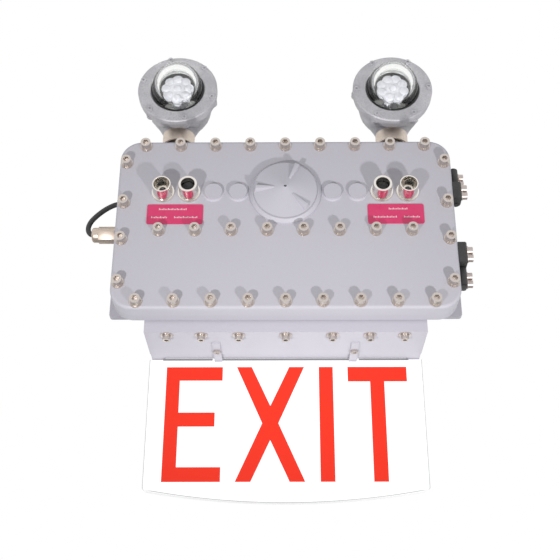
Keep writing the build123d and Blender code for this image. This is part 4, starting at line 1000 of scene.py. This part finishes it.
def makeHinges():
    h = hinge
    pinX = (h["outerX"] + h["edgeX"]) / 2
    leaves = (("coverLeaf", "cover_leaf", h["faceY"], 180), ("housingLeaf", "housing_leaf", h["backY"], -180))
    for level in ("upper", "lower"):
        for leaf, node, endY, turn in leaves:
            bm = bmesh.new()
            low, high = h[node][level]
            addBar(bm, leafOutline(endY, turn), low, high, lambda a, b, place: (a, b, place))
            rims = [edge for edge in bm.edges if any(len(face.verts) > 4 for face in edge.link_faces)]
            bmesh.ops.bevel(bm, geom=rims, offset=h["round"] * mm, segments=2, affect="EDGES", profile=0.5)
            name = f"hinge_{level}_{leaf}"
            piece = addPiece(name, turnedMesh(name, bm), hingeBlack, "root")
            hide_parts(f"hinge_{level}_{node}")
    bm = bmesh.new()
    for level in ("upper", "lower"):
        ends = h["cover_leaf"][level] + h["housing_leaf"][level]
        low, high = min(ends), max(ends)
        outline = [
            (0, low - h["pinReach"]),
            (h["pinHead"], low - h["pinReach"]),
            (h["pinHead"], low + h["pinOverlap"]),
            (h["pinRadius"], low + h["pinOverlap"]),
            (h["pinRadius"], high - h["pinOverlap"]),
            (h["pinHead"], high - h["pinOverlap"]),
            (h["pinHead"], high + h["pinReach"]),
            (0, high + h["pinReach"]),
        ]
        addTurned(bm, outline, (pinX, h["jointY"], 0), "Z", 32)
    piece = addPiece("hingePins", turnedMesh("hingePins", bm), hingeBlack, "root")
    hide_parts("hinge_pins")


makeHinges()
print("hinges made")

# Polished edge round the sign panel, a narrow bright-grey line on its front (millimetres)
panelEdge = {
    "faceY": -20.0,
    "halfWidth": 180.3,
    "top": -138.2,
    "sideBottom": -310.2,
    "corner": 4.0,
    "cornerSteps": 6,
    "cornerTurn": 70,
    "cornerShare": 0.7,
    "middleBottom": -330.0,
    "cornerBottom": -313.6,
    "width": 0.9,
    "proud": 0.12,
    "steps": 40,
}


def panelOutline(inset):
    e = panelEdge
    half = e["halfWidth"] - inset
    middle = half - e["corner"]
    turn = e["cornerTurn"]
    points = [(-half, e["top"])]
    points += arcPoints((-middle, e["sideBottom"]), e["corner"], 180, 180 + turn, e["cornerSteps"])
    span = half - e["corner"] * e["cornerShare"]
    drop = e["cornerBottom"] - e["middleBottom"]
    for i in range(1, e["steps"]):
        x = -span + 2 * span * i / e["steps"]
        points.append((x, e["middleBottom"] + inset + drop * (x / span) ** 2))
    points += arcPoints((middle, e["sideBottom"]), e["corner"], -turn, 0, e["cornerSteps"])
    points.append((half, e["top"]))
    return points


def makePanelEdge():
    e = panelEdge
    front = e["faceY"] - e["proud"]
    bm = bmesh.new()
    rows = []
    for outer, inner in zip(panelOutline(0.0), panelOutline(e["width"])):
        corners = ((outer, e["faceY"]), (outer, front), (inner, front), (inner, e["faceY"]))
        rows.append([bm.verts.new((x * mm, y * mm, z * mm)) for (x, z), y in corners])
    joinRows(bm, rows)
    addPiece("panelEdge", meshFrom("panelEdge", bm), edgeAcrylic, "root")


makePanelEdge()
print("panel edge made")

# Sign letters, cut from red film on the front of the panel (millimetres)
sign = {
    "faceY": -20.0,
    "film": 0.2,
    "top": -148.6,
    "bottom": -303.3,
    "bar": 19.0,
    "eLeft": -156.9,
    "eRight": -83.0,
    "eMiddleRight": -92.0,
    "eStem": 17.8,
    "eMiddleTop": -211.7,
    "xMiddle": -20.1,
    "xHalf": 44.3,
    "xStroke": 19.6,
    "xMiddleZ": -226.3,
    "xMiddleHalf": 10.4,
    "xNotchTop": -202.9,
    "xNotchBottom": -248.8,
    "iLeft": 43.6,
    "iRight": 62.0,
    "tLeft": 81.5,
    "tRight": 159.1,
    "tStemLeft": 110.7,
    "tStemRight": 129.2,
    "tBar": 20.5,
}


def letterOutlines():
    s = sign
    stemRight = s["eLeft"] + s["eStem"]
    eShape = [
        (s["eLeft"], s["top"]),
        (s["eRight"], s["top"]),
        (s["eRight"], s["top"] - s["bar"]),
        (stemRight, s["top"] - s["bar"]),
        (stemRight, s["eMiddleTop"]),
        (s["eMiddleRight"], s["eMiddleTop"]),
        (s["eMiddleRight"], s["eMiddleTop"] - s["bar"]),
        (stemRight, s["eMiddleTop"] - s["bar"]),
        (stemRight, s["bottom"] + s["bar"]),
        (s["eRight"], s["bottom"] + s["bar"]),
        (s["eRight"], s["bottom"]),
        (s["eLeft"], s["bottom"]),
    ]
    xLeft = s["xMiddle"] - s["xHalf"]
    xRight = s["xMiddle"] + s["xHalf"]
    xShape = [
        (xLeft, s["top"]),
        (xLeft + s["xStroke"], s["top"]),
        (s["xMiddle"], s["xNotchTop"]),
        (xRight - s["xStroke"], s["top"]),
        (xRight, s["top"]),
        (s["xMiddle"] + s["xMiddleHalf"], s["xMiddleZ"]),
        (xRight, s["bottom"]),
        (xRight - s["xStroke"], s["bottom"]),
        (s["xMiddle"], s["xNotchBottom"]),
        (xLeft + s["xStroke"], s["bottom"]),
        (xLeft, s["bottom"]),
        (s["xMiddle"] - s["xMiddleHalf"], s["xMiddleZ"]),
    ]
    iShape = [
        (s["iLeft"], s["top"]),
        (s["iRight"], s["top"]),
        (s["iRight"], s["bottom"]),
        (s["iLeft"], s["bottom"]),
    ]
    tShape = [
        (s["tLeft"], s["top"]),
        (s["tRight"], s["top"]),
        (s["tRight"], s["top"] - s["tBar"]),
        (s["tStemRight"], s["top"] - s["tBar"]),
        (s["tStemRight"], s["bottom"]),
        (s["tStemLeft"], s["bottom"]),
        (s["tStemLeft"], s["top"] - s["tBar"]),
        (s["tLeft"], s["top"] - s["tBar"]),
    ]
    return {"E": eShape, "X": xShape, "I": iShape, "T": tShape}


for letter, outline in letterOutlines().items():
    bm = bmesh.new()
    addPlate(bm, outline, sign["faceY"], sign["film"])
    addPiece(f"signLetter{letter}", meshFrom(f"signLetter{letter}", bm), letterFilm, "root")
print("sign letters placed")

# Plain tick rows on the two label plates (millimetres)
labelMarks = {
    "ink": 0.06,
    "tick": 0.9,
    "pitch": 1.9,
    "tall": 2.6,
    "low": 1.7,
    "rows": {
        "left": ((3, 20.5, 19), (20, 8.5, 11), (-14, 8.5, 16)),
        "right": ((3, 20.5, 13), (20, 8.5, 11), (-14, 8.5, 16)),
    },
}


def addTickRow(bm, faceY, middleX, z, count):
    start = middleX - (count - 1) * labelMarks["pitch"] / 2
    for i in range(count):
        height = labelMarks["tall"] if i % 3 == 0 else labelMarks["low"]
        x = start + i * labelMarks["pitch"]
        half = labelMarks["tick"] / 2
        outline = [(x - half, z), (x + half, z), (x + half, z + height), (x - half, z + height)]
        addPlate(bm, outline, faceY, labelMarks["ink"])


for hand in ("left", "right"):
    low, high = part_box(f"label_{hand}")
    frontY = low.y / mm
    middleX = (low.x + high.x) / 2 / mm
    bottomZ = low.z / mm
    outward = -1 if hand == "left" else 1
    bm = bmesh.new()
    for aside, up, count in labelMarks["rows"][hand]:
        addTickRow(bm, frontY, middleX + outward * aside, bottomZ + up, count)
    addPiece(f"labelMarks_{hand}", meshFrom(f"labelMarks_{hand}", bm), labelInk, "root")
print("label marks placed")

# Split spring washers under the screw heads
washerSteps = 28


def addSpringWasher(bm, centre, axis, turn, inner, outer, thickness, slit):
    toPlace = Matrix.Translation(Vector(centre) * mm) @ axis.to_matrix().to_4x4() @ Matrix.Rotation(turn, 4, "Z")
    rings = []
    for i in range(washerSteps + 1):
        angle = slit / 2 + (2 * math.pi - slit) * i / washerSteps
        c, s = math.cos(angle), math.sin(angle)
        corners = ((inner, 0), (outer, 0), (outer, thickness), (inner, thickness))
        rings.append([bm.verts.new(toPlace @ Vector((r * c * mm, r * s * mm, h * mm))) for r, h in corners])
    joinRows(bm, rings)


# Places repeat the drilling of the cover, in millimetres
cover = {
    "faceY": -148.0,
    "pitch": 46.0,
    "rowZ": 114.3,
    "middleZ": -14.5,
    "columnX": 208.0,
    "columnZ": (87.7, 27.0),
    "washer": 1.6,
}
boltPoints = [(i * cover["pitch"], s * cover["rowZ"]) for i in range(-4, 5) for s in (-1, 1)]
boltPoints += [((i + 0.5) * cover["pitch"], cover["middleZ"]) for i in range(-4, 4)]
boltPoints += [(s * cover["columnX"], t * z) for s in (-1, 1) for t in (-1, 1) for z in cover["columnZ"]]
towardViewer = Vector((0, -1, 0)).to_track_quat("Z", "Y")
springWasher = {"inner": 6.3, "outer": 7.2, "thickness": 2.0, "slit": 0.16}
bm = bmesh.new()
for i, (x, z) in enumerate(boltPoints):
    turn = (i * 2.4) % (2 * math.pi)
    centre = (x, cover["faceY"] - cover["washer"], z)
    addSpringWasher(bm, centre, towardViewer, turn, springWasher["inner"], springWasher["outer"],
                    springWasher["thickness"], springWasher["slit"])
addPiece("coverSpringWashers", meshFrom("coverSpringWashers", bm), boltSteel, "root")
print("spring washers placed:", len(boltPoints))

# Jumper cable: its route in millimetres, as a smooth curve through both glands
cable = {
    "diameter": 7.0,
    "length": 0.0858,
    "route": [
        (-255.0, -73.0, 22.0),
        (-262.2, -73.0, 22.0),
        (-267.0, -73.0, 27.4),
        (-267.6, -73.0, 35.0),
        (-264.6, -73.0, 43.4),
        (-258.0, -73.0, 51.8),
        (-249.2, -73.0, 60.2),
        (-240.0, -73.0, 66.8),
        (-229.5, -73.0, 71.5),
        (-219.0, -73.0, 71.5),
    ],
}


def makeCable():
    curve = bpy.data.curves.new("jumperCable", "CURVE")
    curve.dimensions = "3D"
    curve.bevel_depth = cable["diameter"] / 2 * mm
    curve.bevel_resolution = 6
    curve.use_fill_caps = True
    curve.resolution_u = 12
    spline = curve.splines.new("NURBS")
    spline.points.add(len(cable["route"]) - 1)
    for point, place in zip(spline.points, cable["route"]):
        point.co = (place[0] * mm, place[1] * mm, place[2] * mm, 1.0)
    spline.order_u = 3
    spline.use_endpoint_u = True
    piece = bpy.data.objects.new("jumperCable", curve)
    bpy.context.scene.collection.objects.link(piece)
    curve.materials.append(cableSheath)
    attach(piece, "root")
    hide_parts("jumper_cable")


makeCable()
print("cable laid")


# Studio: pale floor far below, white surroundings and two lamps low in front
studio = {
    "lampLeft": {"place": (-0.45, -0.95, -0.83), "aim": (-0.20, -0.15, 0.0), "power": 28.0},
    "lampRight": {"place": (0.50, -0.77, -0.90), "aim": (0.22, -0.15, 0.0), "power": 28.0},
    "spread": 60.0,
    "radius": 0.03,
    "fill": 0.49,
    "floorHalf": 4.0,
    "floorZ": -1.15,
}


def makeFloor():
    bm = bmesh.new()
    bmesh.ops.create_grid(bm, x_segments=2, y_segments=2, size=studio["floorHalf"])
    mesh = bpy.data.meshes.new("floor")
    bm.to_mesh(mesh)
    bm.free()
    floor = bpy.data.objects.new("floor", mesh)
    floor.location = (0, 0, studio["floorZ"])
    bpy.context.scene.collection.objects.link(floor)
    mat = bpy.data.materials.new("floorPale")
    mat.use_nodes = True
    shader = mat.node_tree.nodes["Principled BSDF"]
    setInputs(shader, {"Base Color": colour(0.86, 0.86, 0.86), "Roughness": 0.8})
    mesh.materials.append(mat)


def makeWorld():
    world = bpy.data.worlds.new("world")
    bpy.context.scene.world = world
    world.use_nodes = True
    tree = world.node_tree
    background = tree.nodes["Background"]
    background.inputs["Color"].default_value = colour(1.0, 1.0, 1.0)
    rays = addNode(tree, "ShaderNodeLightPath")
    glossy = addNode(tree, "ShaderNodeMath", operation="MAXIMUM")
    seen = addNode(tree, "ShaderNodeMath", operation="MAXIMUM")
    strength = addNode(tree, "ShaderNodeMapRange")
    setInputs(strength, {"To Min": studio["fill"], "To Max": 1.0})
    tree.links.new(rays.outputs["Is Camera Ray"], glossy.inputs[0])
    tree.links.new(rays.outputs["Is Glossy Ray"], glossy.inputs[1])
    tree.links.new(glossy.outputs["Value"], seen.inputs[0])
    tree.links.new(rays.outputs["Is Transmission Ray"], seen.inputs[1])
    tree.links.new(seen.outputs["Value"], strength.inputs["Value"])
    tree.links.new(strength.outputs["Result"], background.inputs["Strength"])


def makeLamp(name):
    setup = studio[name]
    data = bpy.data.lights.new(name, "SPOT")
    data.energy = setup["power"]
    data.spot_size = math.radians(studio["spread"])
    data.spot_blend = 1.0
    data.shadow_soft_size = studio["radius"]
    lamp = bpy.data.objects.new(name, data)
    lamp.location = setup["place"]
    aim = Vector(setup["aim"]) - Vector(setup["place"])
    lamp.rotation_euler = aim.to_track_quat("-Z", "Y").to_euler()
    bpy.context.scene.collection.objects.link(lamp)


makeFloor()
makeWorld()
makeLamp("lampLeft")
makeLamp("lampRight")
print("studio lit")
